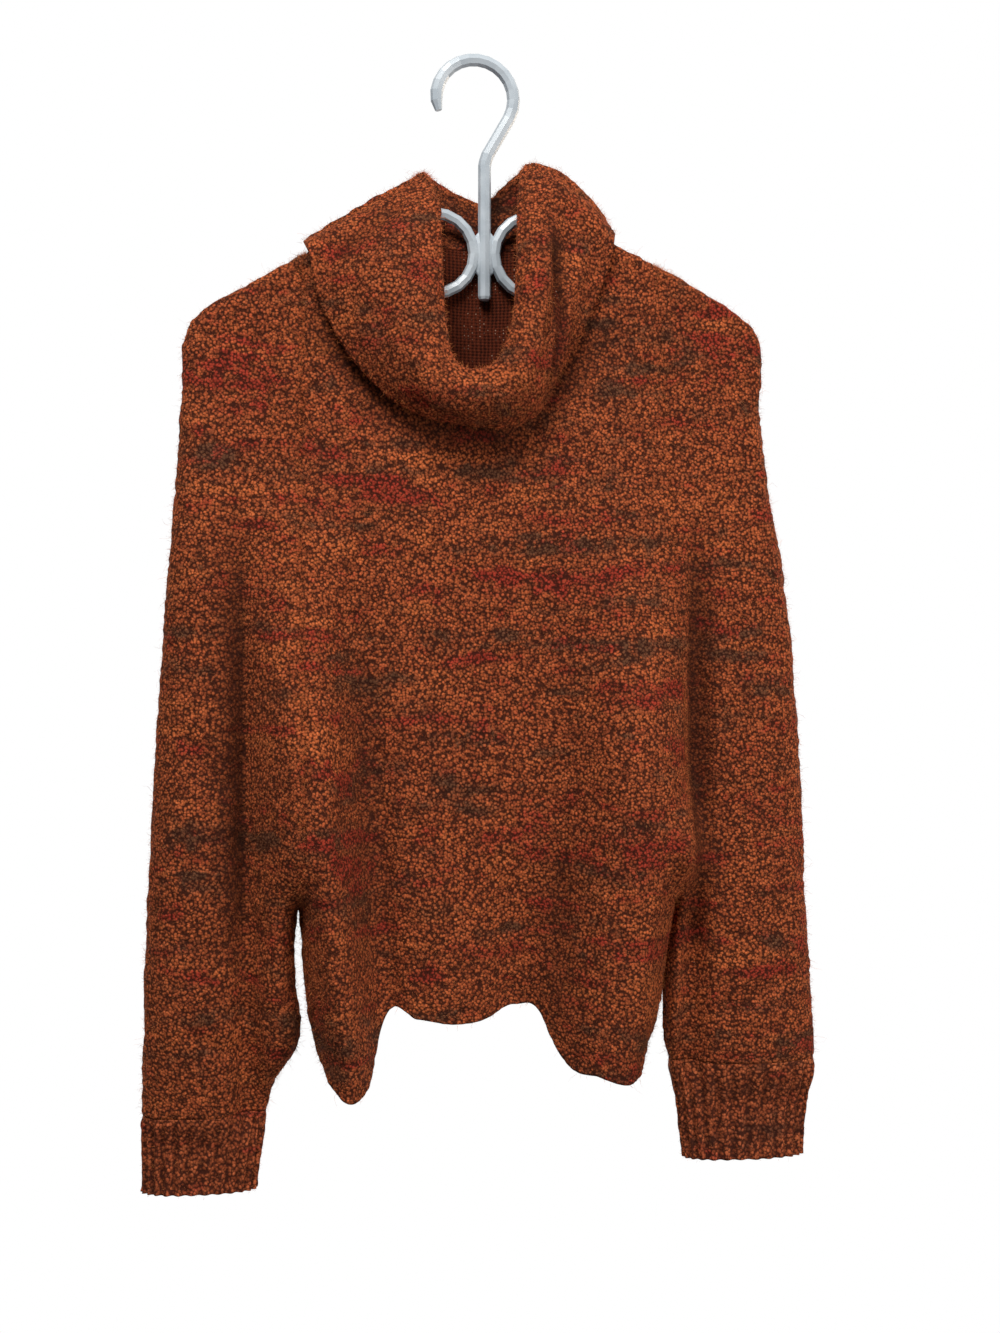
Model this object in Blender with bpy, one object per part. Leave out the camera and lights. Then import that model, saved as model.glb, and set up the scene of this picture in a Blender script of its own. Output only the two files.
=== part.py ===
"""A cowl-neck sweater hanging on a moulded hanger, in metres, +Z up, front towards -Y.

The origin is the inner crown of the hanger's hook, where a rail holds it.
Every cloth piece is a wall of even thickness. Its outer face is one depth function of
(x, z), so the pieces agree where they meet, and its inner face lies a wall inside it.
"""

import math

import bmesh
import bpy
import numpy as np
from mathutils import Vector

# Cloth.
WALL = 0.003
SEAM_GAP = 0.0003
SEAM_TOP = -0.142
UNDERARM = -0.614
SIDE_HEM = -0.718
UNDERARM_ROUNDING = 0.028
UNDERARM_HEIGHT_SHARE = 0.6
NECK_CENTRE = 0.007
NECK_HALF_WIDTH = 0.080
NECK_POINT = -0.121
FRONT_NECK_DROP = 0.129
BACK_NECK_DROP = 0.014
CLOTH_STEP = 0.00025
FOLD_FLANK = 2.6
SHARP_EDGE = 50

# Hanger, measured from the hook's inner crown.
STEM_X = 0.007
STEM_RADIUS = 0.00475
BOW_RADIUS = 0.00425
HOOK_RADIUS = 0.0285
HOOK_END_ANGLE = 200.0
HOOK_START_ANGLE = -29.0
STEM_BEND = -0.070
STEM_END = -0.172
BOW_HALF_CIRCLE = 0.0294
BOW_CENTRE_DROP = -0.1378
BOW_OFFSET = 0.0370
TUBE_ROUNDNESS = 2
WEB_HALF_SIZE = (0.0095, 0.0035, 0.019)
TIP_REACH = 0.186
TIP_HEIGHT = -0.2005
TIP_RADIUS = 0.0105
# The centre lines of the shoulder rail and the lower rail: distance from the stem, z.
BOW_RAIL = (
    (0.037, -0.1084),
    (0.058, -0.1190),
    (0.080, -0.1325),
    (0.105, -0.1430),
    (0.130, -0.1525),
    (0.155, -0.1665),
    (0.175, -0.1780),
)
LOWER_RAIL = ((0.160, -0.2050), (0.120, -0.1930), (0.080, -0.1800))

# The garment's outer edge, from the neck point along the shoulder and down the sleeve: z, x.
LEFT_OUTLINE = (
    (-0.121, -0.073),
    (-0.129, -0.096),
    (-0.142, -0.1245),
    (-0.156, -0.148),
    (-0.1695, -0.171),
    (-0.182, -0.192),
    (-0.193, -0.204),
    (-0.207, -0.2095),
    (-0.230, -0.2110),
    (-0.285, -0.2135),
    (-0.371, -0.2210),
    (-0.486, -0.2285),
    (-0.600, -0.2350),
    (-0.714, -0.2380),
    (-0.815, -0.2375),
)
RIGHT_OUTLINE = (
    (-0.121, 0.087),
    (-0.129, 0.108),
    (-0.142, 0.1355),
    (-0.157, 0.163),
    (-0.1715, 0.190),
    (-0.184, 0.208),
    (-0.198, 0.2150),
    (-0.215, 0.2160),
    (-0.248, 0.2145),
    (-0.300, 0.2205),
    (-0.368, 0.2310),
    (-0.488, 0.2420),
    (-0.609, 0.2465),
    (-0.684, 0.2515),
    (-0.730, 0.2530),
    (-0.775, 0.2465),
    (-0.806, 0.2440),
)

# The armhole seams above the underarm, and the edges of the sleeves and the body below it: z, x.
LEFT_SEAM = ((-0.142, -0.1245), (-0.25, -0.127), (-0.4, -0.128), (-0.5, -0.126), (-0.614, -0.1288))
RIGHT_SEAM = ((-0.142, 0.1355), (-0.25, 0.140), (-0.4, 0.146), (-0.5, 0.149), (-0.614, 0.1465))
LEFT_SLEEVE_INNER = (
    (-0.614, -0.1288),
    (-0.642, -0.1310),
    (-0.677, -0.1295),
    (-0.699, -0.1275),
    (-0.713, -0.1305),
    (-0.727, -0.1395),
    (-0.741, -0.1475),
    (-0.757, -0.1515),
    (-0.783, -0.1550),
    (-0.815, -0.1600),
)
RIGHT_SLEEVE_INNER = (
    (-0.614, 0.1465),
    (-0.640, 0.1430),
    (-0.665, 0.1400),
    (-0.692, 0.1390),
    (-0.721, 0.1410),
    (-0.736, 0.1450),
    (-0.751, 0.1480),
    (-0.780, 0.1520),
    (-0.806, 0.1555),
)
LEFT_BODY_EDGE = (
    (-0.614, -0.1288),
    (-0.650, -0.1260),
    (-0.676, -0.1235),
    (-0.704, -0.1180),
    (-0.718, -0.1150),
)
RIGHT_BODY_EDGE = (
    (-0.614, 0.1465),
    (-0.640, 0.1424),
    (-0.665, 0.1392),
    (-0.692, 0.1345),
    (-0.718, 0.1250),
)

# Half the depth of the hanging cloth, and how far its middle leans to the front: z, size.
HALF_DEPTH = (
    (-0.121, 0.0080),
    (-0.200, 0.0090),
    (-0.260, 0.0120),
    (-0.350, 0.0170),
    (-0.450, 0.0200),
    (-0.600, 0.0220),
    (-0.720, 0.0200),
    (-0.757, 0.0165),
    (-0.815, 0.0150),
)
LEAN = ((-0.121, 0.0), (-0.250, 0.0), (-0.400, -0.004), (-0.560, -0.008), (-0.815, -0.008))

# Folds that run down the cloth. The crest's x is given at three heights, and the fold grows
# from z_start to z_full.
FOLD_HEIGHTS = (-0.300, -0.520, -0.740)
FOLD_COLUMNS = ("x_high", "x_mid", "x_low", "left_width", "right_width", "depth", "z_start", "z_full")
FRONT_FOLDS = {
    "left_ridge": (-0.1270, -0.1220, -0.0990, 0.030, 0.026, 0.038, -0.270, -0.560),
    "left_outer_valley": (-0.1680, -0.1650, -0.1640, 0.010, 0.010, -0.012, -0.300, -0.520),
    "left_inner_valley": (-0.0900, -0.0780, -0.0660, 0.014, 0.014, -0.009, -0.330, -0.600),
    "right_ridge": (0.1080, 0.1110, 0.0930, 0.040, 0.036, 0.036, -0.290, -0.540),
    "right_outer_valley": (0.1600, 0.1590, 0.1560, 0.010, 0.010, -0.014, -0.320, -0.500),
    "middle_groove": (0.0250, 0.0260, 0.0270, 0.018, 0.018, -0.009, -0.540, -0.690),
    "middle_swell": (-0.0200, -0.0200, -0.0220, 0.030, 0.030, 0.005, -0.500, -0.680),
    "left_sleeve_roll": (-0.1900, -0.1950, -0.2000, 0.022, 0.022, 0.005, -0.260, -0.480),
    "right_sleeve_roll": (0.1900, 0.1990, 0.2050, 0.024, 0.024, 0.006, -0.260, -0.480),
}
BACK_FOLDS = {
    "left_ridge": (-0.1150, -0.1150, -0.0960, 0.032, 0.030, 0.026, -0.290, -0.580),
    "left_valley": (-0.1650, -0.1630, -0.1640, 0.012, 0.012, -0.009, -0.300, -0.520),
    "left_soft_fold": (-0.0350, -0.0420, -0.0460, 0.024, 0.024, 0.008, -0.380, -0.660),
    "right_soft_fold": (0.0420, 0.0450, 0.0480, 0.026, 0.026, 0.009, -0.360, -0.640),
    "right_ridge": (0.1180, 0.1200, 0.0950, 0.034, 0.034, 0.026, -0.290, -0.580),
    "right_valley": (0.1660, 0.1640, 0.1620, 0.012, 0.012, -0.009, -0.320, -0.520),
}

# Local swellings of the front: where the web of the underarm is pushed out.
SWELL_COLUMNS = ("x", "z", "half_width", "half_height", "depth")
FRONT_SWELLS = {
    "right_web": (0.1500, -0.5760, 0.014, 0.034, 0.026),
    "left_sleeve_fold": (-0.1450, -0.6600, 0.014, 0.040, 0.010),
}

# The hem's height below the hook, from side seam to side seam: x, z.
FRONT_HEM = (
    (-0.115, -0.718),
    (-0.108, -0.731),
    (-0.097, -0.741),
    (-0.084, -0.738),
    (-0.077, -0.727),
    (-0.072, -0.704),
    (-0.067, -0.690),
    (-0.045, -0.691),
    (-0.018, -0.695),
    (0.002, -0.693),
    (0.027, -0.684),
    (0.044, -0.690),
    (0.050, -0.705),
    (0.057, -0.719),
    (0.081, -0.729),
    (0.105, -0.735),
    (0.117, -0.730),
    (0.125, -0.718),
)
BACK_HEM = (
    (-0.115, -0.718),
    (-0.098, -0.716),
    (-0.076, -0.701),
    (-0.050, -0.688),
    (0.000, -0.685),
    (0.050, -0.688),
    (0.080, -0.702),
    (0.104, -0.717),
    (0.125, -0.718),
)

# Rows of every panel and sleeve, as drops below the seam's top.
SHOULDER_DROPS = (0.0, 0.0012, 0.0035, 0.009, 0.018, 0.034, 0.055, 0.080)
UPPER_ROWS = 9
UNDERARM_APPROACH = (0.020, 0.008, 0.0)
BODY_LOWER_ROWS = 4
SLEEVE_LOWER_ROWS = 6
FRONT_SHOULDER_COLUMNS = 8
BACK_SHOULDER_COLUMNS = 6
SLEEVE_FRONT_COLUMNS = 11
SLEEVE_BACK_COLUMNS = 9
SPACING_HEIGHT = -0.650

# The columns round the neck, in fortieths of a turn from the middle of the front or back to the neck point.
NECK_COLUMNS = 40
FRONT_NECK_STEPS = (0, 1, 2, 3, 4, 5, 6, 7, 8, 9, 10)
BACK_NECK_STEPS = (0, 2, 4, 6, 8, 9, 10)

# Cuffs.
LEFT_CUFF = (-0.757, -0.812)
RIGHT_CUFF = (-0.730, -0.803)
CUFF_RIBS = 20
CUFF_RIB_HEIGHT = 0.0012
CUFF_ROWS = 4
CUFF_SQUARENESS = 0.8

# The cowl, a row for each section round the neck: turn, crest x, y and z, edge x and z, stand-off, swell.
# Turns run from the back's middle over the left shoulder. The crest is the top of the fold, the free
# edge lies over the cloth by its stand-off, and the swell is the outer layer's.
COWL_SECTIONS = (
    (0.000, 0.007, 0.027, -0.095, 0.007, -0.196, 0.006, 0.014),
    (0.075, -0.016, 0.025, -0.087, -0.046, -0.192, 0.006, 0.014),
    (0.150, -0.033, 0.016, -0.079, -0.090, -0.176, 0.006, 0.008),
    (0.225, -0.036, 0.002, -0.081, -0.115, -0.152, 0.008, 0.004),
    (0.250, -0.035, -0.003, -0.084, -0.120, -0.130, 0.005, 0.001),
    (0.275, -0.032, -0.011, -0.094, -0.120, -0.150, 0.006, 0.004),
    (0.300, -0.030, -0.019, -0.107, -0.118, -0.164, 0.005, 0.009),
    (0.350, -0.028, -0.030, -0.146, -0.109, -0.190, 0.006, 0.014),
    (0.400, -0.026, -0.037, -0.192, -0.089, -0.224, 0.008, 0.015),
    (0.450, -0.019, -0.043, -0.226, -0.050, -0.259, 0.010, 0.015),
    (0.500, 0.001, -0.046, -0.231, 0.004, -0.270, 0.011, 0.014),
    (0.550, 0.016, -0.044, -0.217, 0.040, -0.262, 0.010, 0.013),
    (0.600, 0.025, -0.038, -0.185, 0.057, -0.233, 0.009, 0.014),
    (0.650, 0.027, -0.031, -0.143, 0.076, -0.197, 0.007, 0.015),
    (0.700, 0.030, -0.018, -0.105, 0.093, -0.158, 0.005, 0.013),
    (0.725, 0.033, -0.010, -0.088, 0.099, -0.138, 0.006, 0.013),
    (0.750, 0.037, -0.002, -0.075, 0.100, -0.120, 0.005, 0.012),
    (0.775, 0.039, 0.003, -0.072, 0.098, -0.139, 0.007, 0.012),
    (0.850, 0.035, 0.016, -0.074, 0.080, -0.174, 0.006, 0.013),
    (0.925, 0.022, 0.024, -0.085, 0.052, -0.192, 0.006, 0.014),
)
COWL_INNER_ROWS = 4
COWL_TURN_ROWS = 3
COWL_OUTER_ROWS = 6
COWL_TURN_RADIUS = 0.004
COWL_TURN_RISE = 0.4
COWL_SWELL_HEIGHT = 0.8
COWL_CREASE = {"turn": 0.655, "turn_width": 0.075, "down": 0.50, "down_width": 0.13, "depth": 0.009}
NECK_SEAM = 0.0008

YARN = (0.30, 0.065, 0.020, 1.0)
CUFF_YARN = (0.20, 0.050, 0.018, 1.0)
PLASTIC = (0.55, 0.60, 0.63, 1.0)
CLOTH_ROUGHNESS = 0.95
PLASTIC_ROUGHNESS = 0.28


def smooth_curve(rows):
    """A function that runs smoothly through (position, value) rows, and stays level past the last ones."""
    at, value = np.array(sorted(rows)).T
    slope = np.gradient(value, at)

    def read(position):
        here = np.clip(position, at[0], at[-1])
        piece = np.clip(np.searchsorted(at, here) - 1, 0, len(at) - 2)
        length = at[piece + 1] - at[piece]
        t = (here - at[piece]) / length
        rise = value[piece] * (1 + 2 * t) * (1 - t) ** 2 + value[piece + 1] * t**2 * (3 - 2 * t)
        return rise + length * (slope[piece] * t * (1 - t) ** 2 + slope[piece + 1] * t**2 * (t - 1))

    return read


def smooth_step(value, start, end):
    """0 at start and before, 1 at end and past it, with level ends."""
    t = np.clip((value - start) / (end - start), 0, 1)
    return t * t * (3 - 2 * t)


def quarter_round(distance, radius):
    """Height of a quarter circle that starts upright at distance 0 and is level from one radius on."""
    return np.sqrt(1 - (1 - np.clip(distance / radius, 0, 1)) ** 2)


left_outline = smooth_curve(LEFT_OUTLINE)
right_outline = smooth_curve(RIGHT_OUTLINE)
left_seam = smooth_curve(LEFT_SEAM)
right_seam = smooth_curve(RIGHT_SEAM)
left_body_edge = smooth_curve(LEFT_BODY_EDGE)
right_body_edge = smooth_curve(RIGHT_BODY_EDGE)
left_sleeve_inner = smooth_curve(LEFT_SLEEVE_INNER)
right_sleeve_inner = smooth_curve(RIGHT_SLEEVE_INNER)
half_depth = smooth_curve(HALF_DEPTH)
lean = smooth_curve(LEAN)
front_hem = smooth_curve(FRONT_HEM)
back_hem = smooth_curve(BACK_HEM)


def folds(x, z, table):
    """Sum of the table's folds at (x, z): each a rounded ridge with steep flanks and a short foot."""
    total = np.zeros(np.broadcast(x, z).shape)
    for row in table.values():
        fold = dict(zip(FOLD_COLUMNS, row))
        crest = smooth_curve(zip(FOLD_HEIGHTS, (fold["x_high"], fold["x_mid"], fold["x_low"])))(z)
        width = np.where(x < crest, fold["left_width"], fold["right_width"])
        growth = smooth_step(-z, -fold["z_start"], -fold["z_full"])
        total = total + fold["depth"] * growth * np.exp(-np.abs((x - crest) / width) ** FOLD_FLANK)
    return total


def swells(x, z, table):
    """Sum of the table's swellings at (x, z), each a soft oval mound."""
    total = np.zeros(np.broadcast(x, z).shape)
    for row in table.values():
        swell = dict(zip(SWELL_COLUMNS, row))
        across = (x - swell["x"]) / swell["half_width"]
        down = (z - swell["z"]) / swell["half_height"]
        total = total + swell["depth"] * np.exp(-(across**2) - down**2)
    return total


def outline_distance(x, z):
    """Distance of (x, z) from the garment's outline, measured square to it."""
    step = 0.001
    left_slope = (left_outline(z + step) - left_outline(z - step)) / (2 * step)
    right_slope = (right_outline(z + step) - right_outline(z - step)) / (2 * step)
    from_left = (x - left_outline(z)) / np.hypot(1, left_slope)
    from_right = (right_outline(z) - x) / np.hypot(1, right_slope)
    return np.minimum(from_left, from_right)


def underarm_distance(x, z, inward, seam, edge):
    """Distance from the underarm point above it, shortened upwards so that its hollow is taller than
    wide, and from the piece's own closed edge below it."""
    above = np.hypot(x - seam(z), UNDERARM_HEIGHT_SHARE * np.maximum(z - UNDERARM, 0))
    return np.where(z >= UNDERARM, above, np.maximum(inward * (x - edge(z)), 0))


def cloth_y(x, z, face, piece):
    """Depth of the cloth's outer face at (x, z). face is -1 in front and 1 behind. The cloth closes
    round the outline, and below the underarm also round the edges of the body or of the sleeve."""
    depth = half_depth(z) + folds(x, z, FRONT_FOLDS if face < 0 else BACK_FOLDS)
    if face < 0:
        depth = depth + swells(x, z, FRONT_SWELLS)
    depth = depth * quarter_round(outline_distance(x, z), half_depth(z))
    if piece != "sleeve_right":
        edge, inward = (left_sleeve_inner, -1) if piece == "sleeve_left" else (left_body_edge, 1)
        gap = underarm_distance(x, z, inward, left_seam, edge)
        depth = depth * quarter_round(gap, UNDERARM_ROUNDING)
    if piece != "sleeve_left":
        edge, inward = (right_sleeve_inner, 1) if piece == "sleeve_right" else (right_body_edge, -1)
        gap = underarm_distance(x, z, inward, right_seam, edge)
        depth = depth * quarter_round(gap, UNDERARM_ROUNDING)
    return lean(z) + face * np.maximum(depth, SEAM_GAP / 2)


def cloth_points(x, z, face, piece):
    """Outer points of the cloth at (x, z), and the directions out of it. On a closed edge, where the
    front meets the back, the wall lies in the plane of the seam."""
    beside = cloth_y(x + CLOTH_STEP, z, face, piece) - cloth_y(x - CLOTH_STEP, z, face, piece)
    above = cloth_y(x, z + CLOTH_STEP, face, piece) - cloth_y(x, z - CLOTH_STEP, face, piece)
    slope_x, slope_z = beside / (2 * CLOTH_STEP), above / (2 * CLOTH_STEP)
    points = np.stack([x, cloth_y(x, z, face, piece), z], axis=-1)
    closed = np.abs(points[..., 1] - lean(z)) <= SEAM_GAP
    out = face * np.stack([-slope_x, np.where(closed, 0.0, 1.0), -slope_z], axis=-1)
    return points, out / np.linalg.norm(out, axis=-1, keepdims=True)


def even_steps(x, y, count):
    """The shares of a section's width at which count points lie evenly along it."""
    length = np.concatenate([[0], np.cumsum(np.hypot(np.diff(x), np.diff(y)))])
    share = (x - x[0]) / (x[-1] - x[0])
    return np.interp(np.linspace(0, length[-1], count), length, share)


def wall_mesh(name, outer, inner, closed=False):
    """A mesh object from two grids of points, rows down and columns across: the outer face, the inner
    face and the rims between their borders. A closed grid joins its last column to its first."""
    rows, columns = outer.shape[:2]
    index = np.arange(rows * columns).reshape(rows, columns)
    if closed:
        index = np.concatenate([index, index[:, :1]], axis=1)
    inside = index + rows * columns
    quads = [
        np.stack([index[:-1, :-1], index[1:, :-1], index[1:, 1:], index[:-1, 1:]], axis=-1).reshape(-1, 4),
        np.stack([inside[:-1, :-1], inside[:-1, 1:], inside[1:, 1:], inside[1:, :-1]], -1).reshape(-1, 4),
        np.stack([index[0, :-1], index[0, 1:], inside[0, 1:], inside[0, :-1]], axis=-1),
        np.stack([index[-1, :-1], inside[-1, :-1], inside[-1, 1:], index[-1, 1:]], axis=-1),
    ]
    if not closed:
        quads.append(np.stack([index[:-1, 0], inside[:-1, 0], inside[1:, 0], index[1:, 0]], axis=-1))
        quads.append(np.stack([index[:-1, -1], index[1:, -1], inside[1:, -1], inside[:-1, -1]], axis=-1))
    points = np.concatenate([outer.reshape(-1, 3), inner.reshape(-1, 3)])
    mesh = bpy.data.meshes.new(name)
    mesh.from_pydata(points.tolist(), [], np.concatenate(quads).tolist())
    shape = bmesh.new()
    shape.from_mesh(mesh)
    bmesh.ops.recalc_face_normals(shape, faces=shape.faces)
    shape.to_mesh(mesh)
    shape.free()
    mesh.shade_smooth()
    mesh.set_sharp_from_angle(angle=math.radians(SHARP_EDGE))
    return bpy.data.objects.new(name, mesh)


def material(name, colour, roughness):
    """A plain surface with the piece's colour."""
    made = bpy.data.materials.new(name)
    made.use_nodes = True
    surface = made.node_tree.nodes["Principled BSDF"]
    surface.inputs["Base Color"].default_value = colour
    surface.inputs["Roughness"].default_value = roughness
    surface.inputs["Metallic"].default_value = 0.0
    return made


def shoulder_height(x):
    """The shoulder line's z at x, read off the outline between the neck points and the armholes."""
    z = np.linspace(NECK_POINT, SEAM_TOP - 0.02, 200)
    left = np.interp(x, left_outline(z)[::-1], z[::-1])
    right = np.interp(x, right_outline(z), z)
    return np.where(x < NECK_CENTRE, left, right)


def panel_top(x, neck_drop):
    """The panel's upper edge: the shoulder seam, and between the neck points a neckline that dips as a
    parabola."""
    across = (x - NECK_CENTRE) / NECK_HALF_WIDTH
    neckline = NECK_POINT - neck_drop * (1 - across**2)
    return np.where(np.abs(across) < 1, neckline, shoulder_height(x))


def level_heights(bottom, lower_rows):
    """Heights of the rows, closer together at the shoulder and just above the underarm."""
    shoulder = SEAM_TOP - np.array(SHOULDER_DROPS)
    approach = UNDERARM + np.array(UNDERARM_APPROACH)
    upper = np.linspace(shoulder[-1], approach[0], UPPER_ROWS + 1)[1:-1]
    lower = np.linspace(UNDERARM, bottom, lower_rows + 1)[1:]
    return np.concatenate([shoulder, upper, approach, lower])


def edge_line(z, seam, edge):
    """A panel's or sleeve's edge: the armhole seam down to the underarm, then its own edge."""
    return np.where(z >= UNDERARM, seam(z), edge(z))


def panel_columns(left, right, face, name, shoulder_columns, neck_steps):
    """Each column's share of the way from the left edge to the right one: evenly along the body's
    section below each shoulder, and at the cowl's own columns between the neck points."""
    half = np.sin(2 * np.pi * np.array(neck_steps) / NECK_COLUMNS) * NECK_HALF_WIDTH
    neck = (NECK_CENTRE + np.concatenate([-half[:0:-1], half]) - left) / (right - left)
    shares = [neck]
    for start, end in ((0.0, neck[0]), (neck[-1], 1.0)):
        share = np.linspace(start, end, 400)
        edges = left_body_edge(SPACING_HEIGHT), right_body_edge(SPACING_HEIGHT)
        x = edges[0] + (edges[1] - edges[0]) * share
        steps = even_steps(x, cloth_y(x, SPACING_HEIGHT, face, name), shoulder_columns)
        shares.append(start + (end - start) * steps)
    return np.unique(np.concatenate(shares).round(6))


def make_panel(name, face, neck_drop, hem, shoulder_columns, neck_steps):
    """The front or back: a grid between the side edges, from the shoulder seam and neckline down to
    the hem."""
    levels = level_heights(SIDE_HEM, BODY_LOWER_ROWS)
    left = edge_line(levels, left_seam, left_body_edge) + SEAM_GAP / 2
    right = edge_line(levels, right_seam, right_body_edge) - SEAM_GAP / 2
    across = panel_columns(left[0], right[0], face, name, shoulder_columns, neck_steps)
    x = left[:, None] + (right - left)[:, None] * across
    top = panel_top(x[0], neck_drop)
    top[[0, -1]] = SEAM_TOP
    drop = (SEAM_TOP - levels) / (SEAM_TOP - SIDE_HEM)
    z = top - drop[:, None] * (top - hem(x[-1]))
    points, out = cloth_points(x, z, face, name)
    return wall_mesh(name, points, points - WALL * out)


def make_sleeve(name, seam, inner, outline, bottom):
    """A sleeve: a grid from the front of the armhole seam, round the outer edge, to its back, down to
    the cuff."""
    levels = level_heights(bottom, SLEEVE_LOWER_ROWS)[1:]
    away = 1 if name == "sleeve_right" else -1
    start = edge_line(levels, seam, inner) + away * SEAM_GAP / 2
    end = outline(levels)
    grids = []
    for face, columns in ((-1, SLEEVE_FRONT_COLUMNS), (1, SLEEVE_BACK_COLUMNS)):
        x = np.linspace(inner(SPACING_HEIGHT), outline(SPACING_HEIGHT), 2000)
        across = even_steps(x, cloth_y(x, SPACING_HEIGHT, face, name), columns)
        x = start[:, None] + (end - start)[:, None] * across
        grids.append(cloth_points(x, np.repeat(levels[:, None], columns, axis=1), face, name))
    (front, front_out), (back, back_out) = grids
    turn = (front[:, -1:] + back[:, -1:]) / 2
    turn_out = front_out[:, -1:] + back_out[:, -1:]
    turn_out = turn_out / np.linalg.norm(turn_out, axis=-1, keepdims=True)
    points = np.concatenate([front[:, :-1], turn, back[:, -2::-1]], axis=1)
    out = np.concatenate([front_out[:, :-1], turn_out, back_out[:, -2::-1]], axis=1)
    return wall_mesh(name, points, points - WALL * out)


def make_cuff(name, inner, outline, heights):
    """A cuff: a flat oval tube as wide as the sleeve's end, with ribs raised on its outside only."""
    top, bottom = heights
    z = np.linspace(top - SEAM_GAP, bottom, CUFF_ROWS)[:, None]
    turn = np.linspace(0, 2 * np.pi, 2 * CUFF_RIBS, endpoint=False)
    middle = (inner(z) + outline(z)) / 2
    half_width = np.abs(outline(z) - inner(z)) / 2
    x = middle + half_width * np.cos(turn)
    y = lean(z) + half_depth(z) * np.sign(np.sin(turn)) * np.abs(np.sin(turn)) ** CUFF_SQUARENESS
    points = np.stack([x, y, z + 0 * x], axis=-1)
    middles = np.stack([middle + 0 * x, lean(z) + 0 * x, z + 0 * x], axis=-1)
    around = np.roll(points, -1, axis=1) - np.roll(points, 1, axis=1)
    out = np.stack([around[..., 1], -around[..., 0], 0 * x], axis=-1)
    out = out * np.sign(np.sum(out * (points - middles), axis=-1, keepdims=True))
    out = out / np.linalg.norm(out, axis=-1, keepdims=True)
    ribs = np.where(np.arange(2 * CUFF_RIBS) % 2, CUFF_RIB_HEIGHT, 0)[:, None]
    return wall_mesh(name, points + ribs * out, points - WALL * out, closed=True)


def around_loop(rows, turns):
    """Values of a closed table of rows at the given turns, on a smooth curve that returns to its start."""
    at = [row[0] for row in rows]
    wrapped = [at[-2] - 1, at[-1] - 1, *at, at[0] + 1, at[1] + 1]
    values = [rows[-2][1:], rows[-1][1:], *[row[1:] for row in rows], rows[0][1:], rows[1][1:]]
    columns = [smooth_curve(zip(wrapped, column))(turns) for column in zip(*values)]
    return np.stack(columns, axis=-1)


def neckline(turns):
    """The panels' upper edge round the neck at the given turns, moved NECK_SEAM towards the opening: its
    points on the cloth's outer face and on its inner face. Each quarter of a turn runs between a middle
    and a neck point."""
    across = -np.sin(2 * np.pi * turns)
    x = NECK_CENTRE + NECK_HALF_WIDTH * across
    front = np.cos(2 * np.pi * turns) < 0
    z = NECK_POINT - np.where(front, FRONT_NECK_DROP, BACK_NECK_DROP) * (1 - across**2)
    front_points, front_out = cloth_points(x, z, -1, "front")
    back_points, back_out = cloth_points(x, z, 1, "back")
    points = np.where(front[:, None], front_points, back_points)
    out = np.where(front[:, None], front_out, back_out)
    round_neck = np.roll(points, -1, axis=0) - np.roll(points, 1, axis=0)
    inward = np.cross(out, round_neck)
    inward = inward / np.linalg.norm(inward, axis=-1, keepdims=True)
    outer = points + NECK_SEAM * inward
    return outer, outer - WALL * out


def make_collar():
    """The cowl: from the neckline up to the crest, round it, and down outside to the free edge. Each
    section is a smooth line through its own points, and the crease is a soft trough in the outer
    layer."""
    turns = np.arange(NECK_COLUMNS) / NECK_COLUMNS
    sections = around_loop(COWL_SECTIONS, turns)
    crest, stand_off, swell = sections[:, 0:3], sections[:, 5:6], sections[:, 6:7]
    edge_x = sections[:, 3]
    edge_z = np.minimum(sections[:, 4], shoulder_height(edge_x))
    over_front, front_out = cloth_points(edge_x, edge_z, -1, "front")
    over_back, back_out = cloth_points(edge_x, edge_z, 1, "back")
    faces_front = np.cos(2 * np.pi * turns)[:, None] < 0
    edge = np.where(faces_front, over_front, over_back)
    edge = edge + np.where(faces_front, front_out, back_out) * (WALL + stand_off)
    seam_outer, seam_inner = neckline(turns)
    chord = edge - crest
    chord = chord / np.linalg.norm(chord, axis=-1, keepdims=True)
    along = np.roll(crest, -1, axis=0) - np.roll(crest, 1, axis=0)
    out = np.cross(chord, along)
    out = out / np.linalg.norm(out, axis=-1, keepdims=True)
    rows = []
    for share in np.linspace(0, 1, COWL_INNER_ROWS, endpoint=False):
        rows.append(seam_inner + (crest - COWL_TURN_RADIUS * out - seam_inner) * share)
    for angle in np.linspace(-math.pi / 2, math.pi / 2, COWL_TURN_ROWS):
        rise = math.cos(angle) - 1 + COWL_TURN_RISE
        rows.append(crest + COWL_TURN_RADIUS * (out * math.sin(angle) - chord * rise))
    crease = COWL_CREASE
    near = np.exp(-(((turns - crease["turn"]) / crease["turn_width"]) ** 2))[:, None]
    for share in np.linspace(0, 1, COWL_OUTER_ROWS + 1)[1:]:
        bulge = swell * math.sin(math.pi * share**COWL_SWELL_HEIGHT) + COWL_TURN_RADIUS * (1 - share)
        trough = crease["depth"] * near * math.exp(-(((share - crease["down"]) / crease["down_width"]) ** 2))
        rows.append(crest + (edge - crest) * share + out * (bulge - trough))
    points = np.array(rows)
    down = np.gradient(points, axis=0)
    round_neck = np.roll(points, -1, axis=1) - np.roll(points, 1, axis=1)
    outward = np.cross(down, round_neck)
    outward = outward / np.linalg.norm(outward, axis=-1, keepdims=True)
    behind = points - WALL * outward
    behind[0] = seam_outer
    return wall_mesh("collar", points, behind, closed=True)


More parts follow.
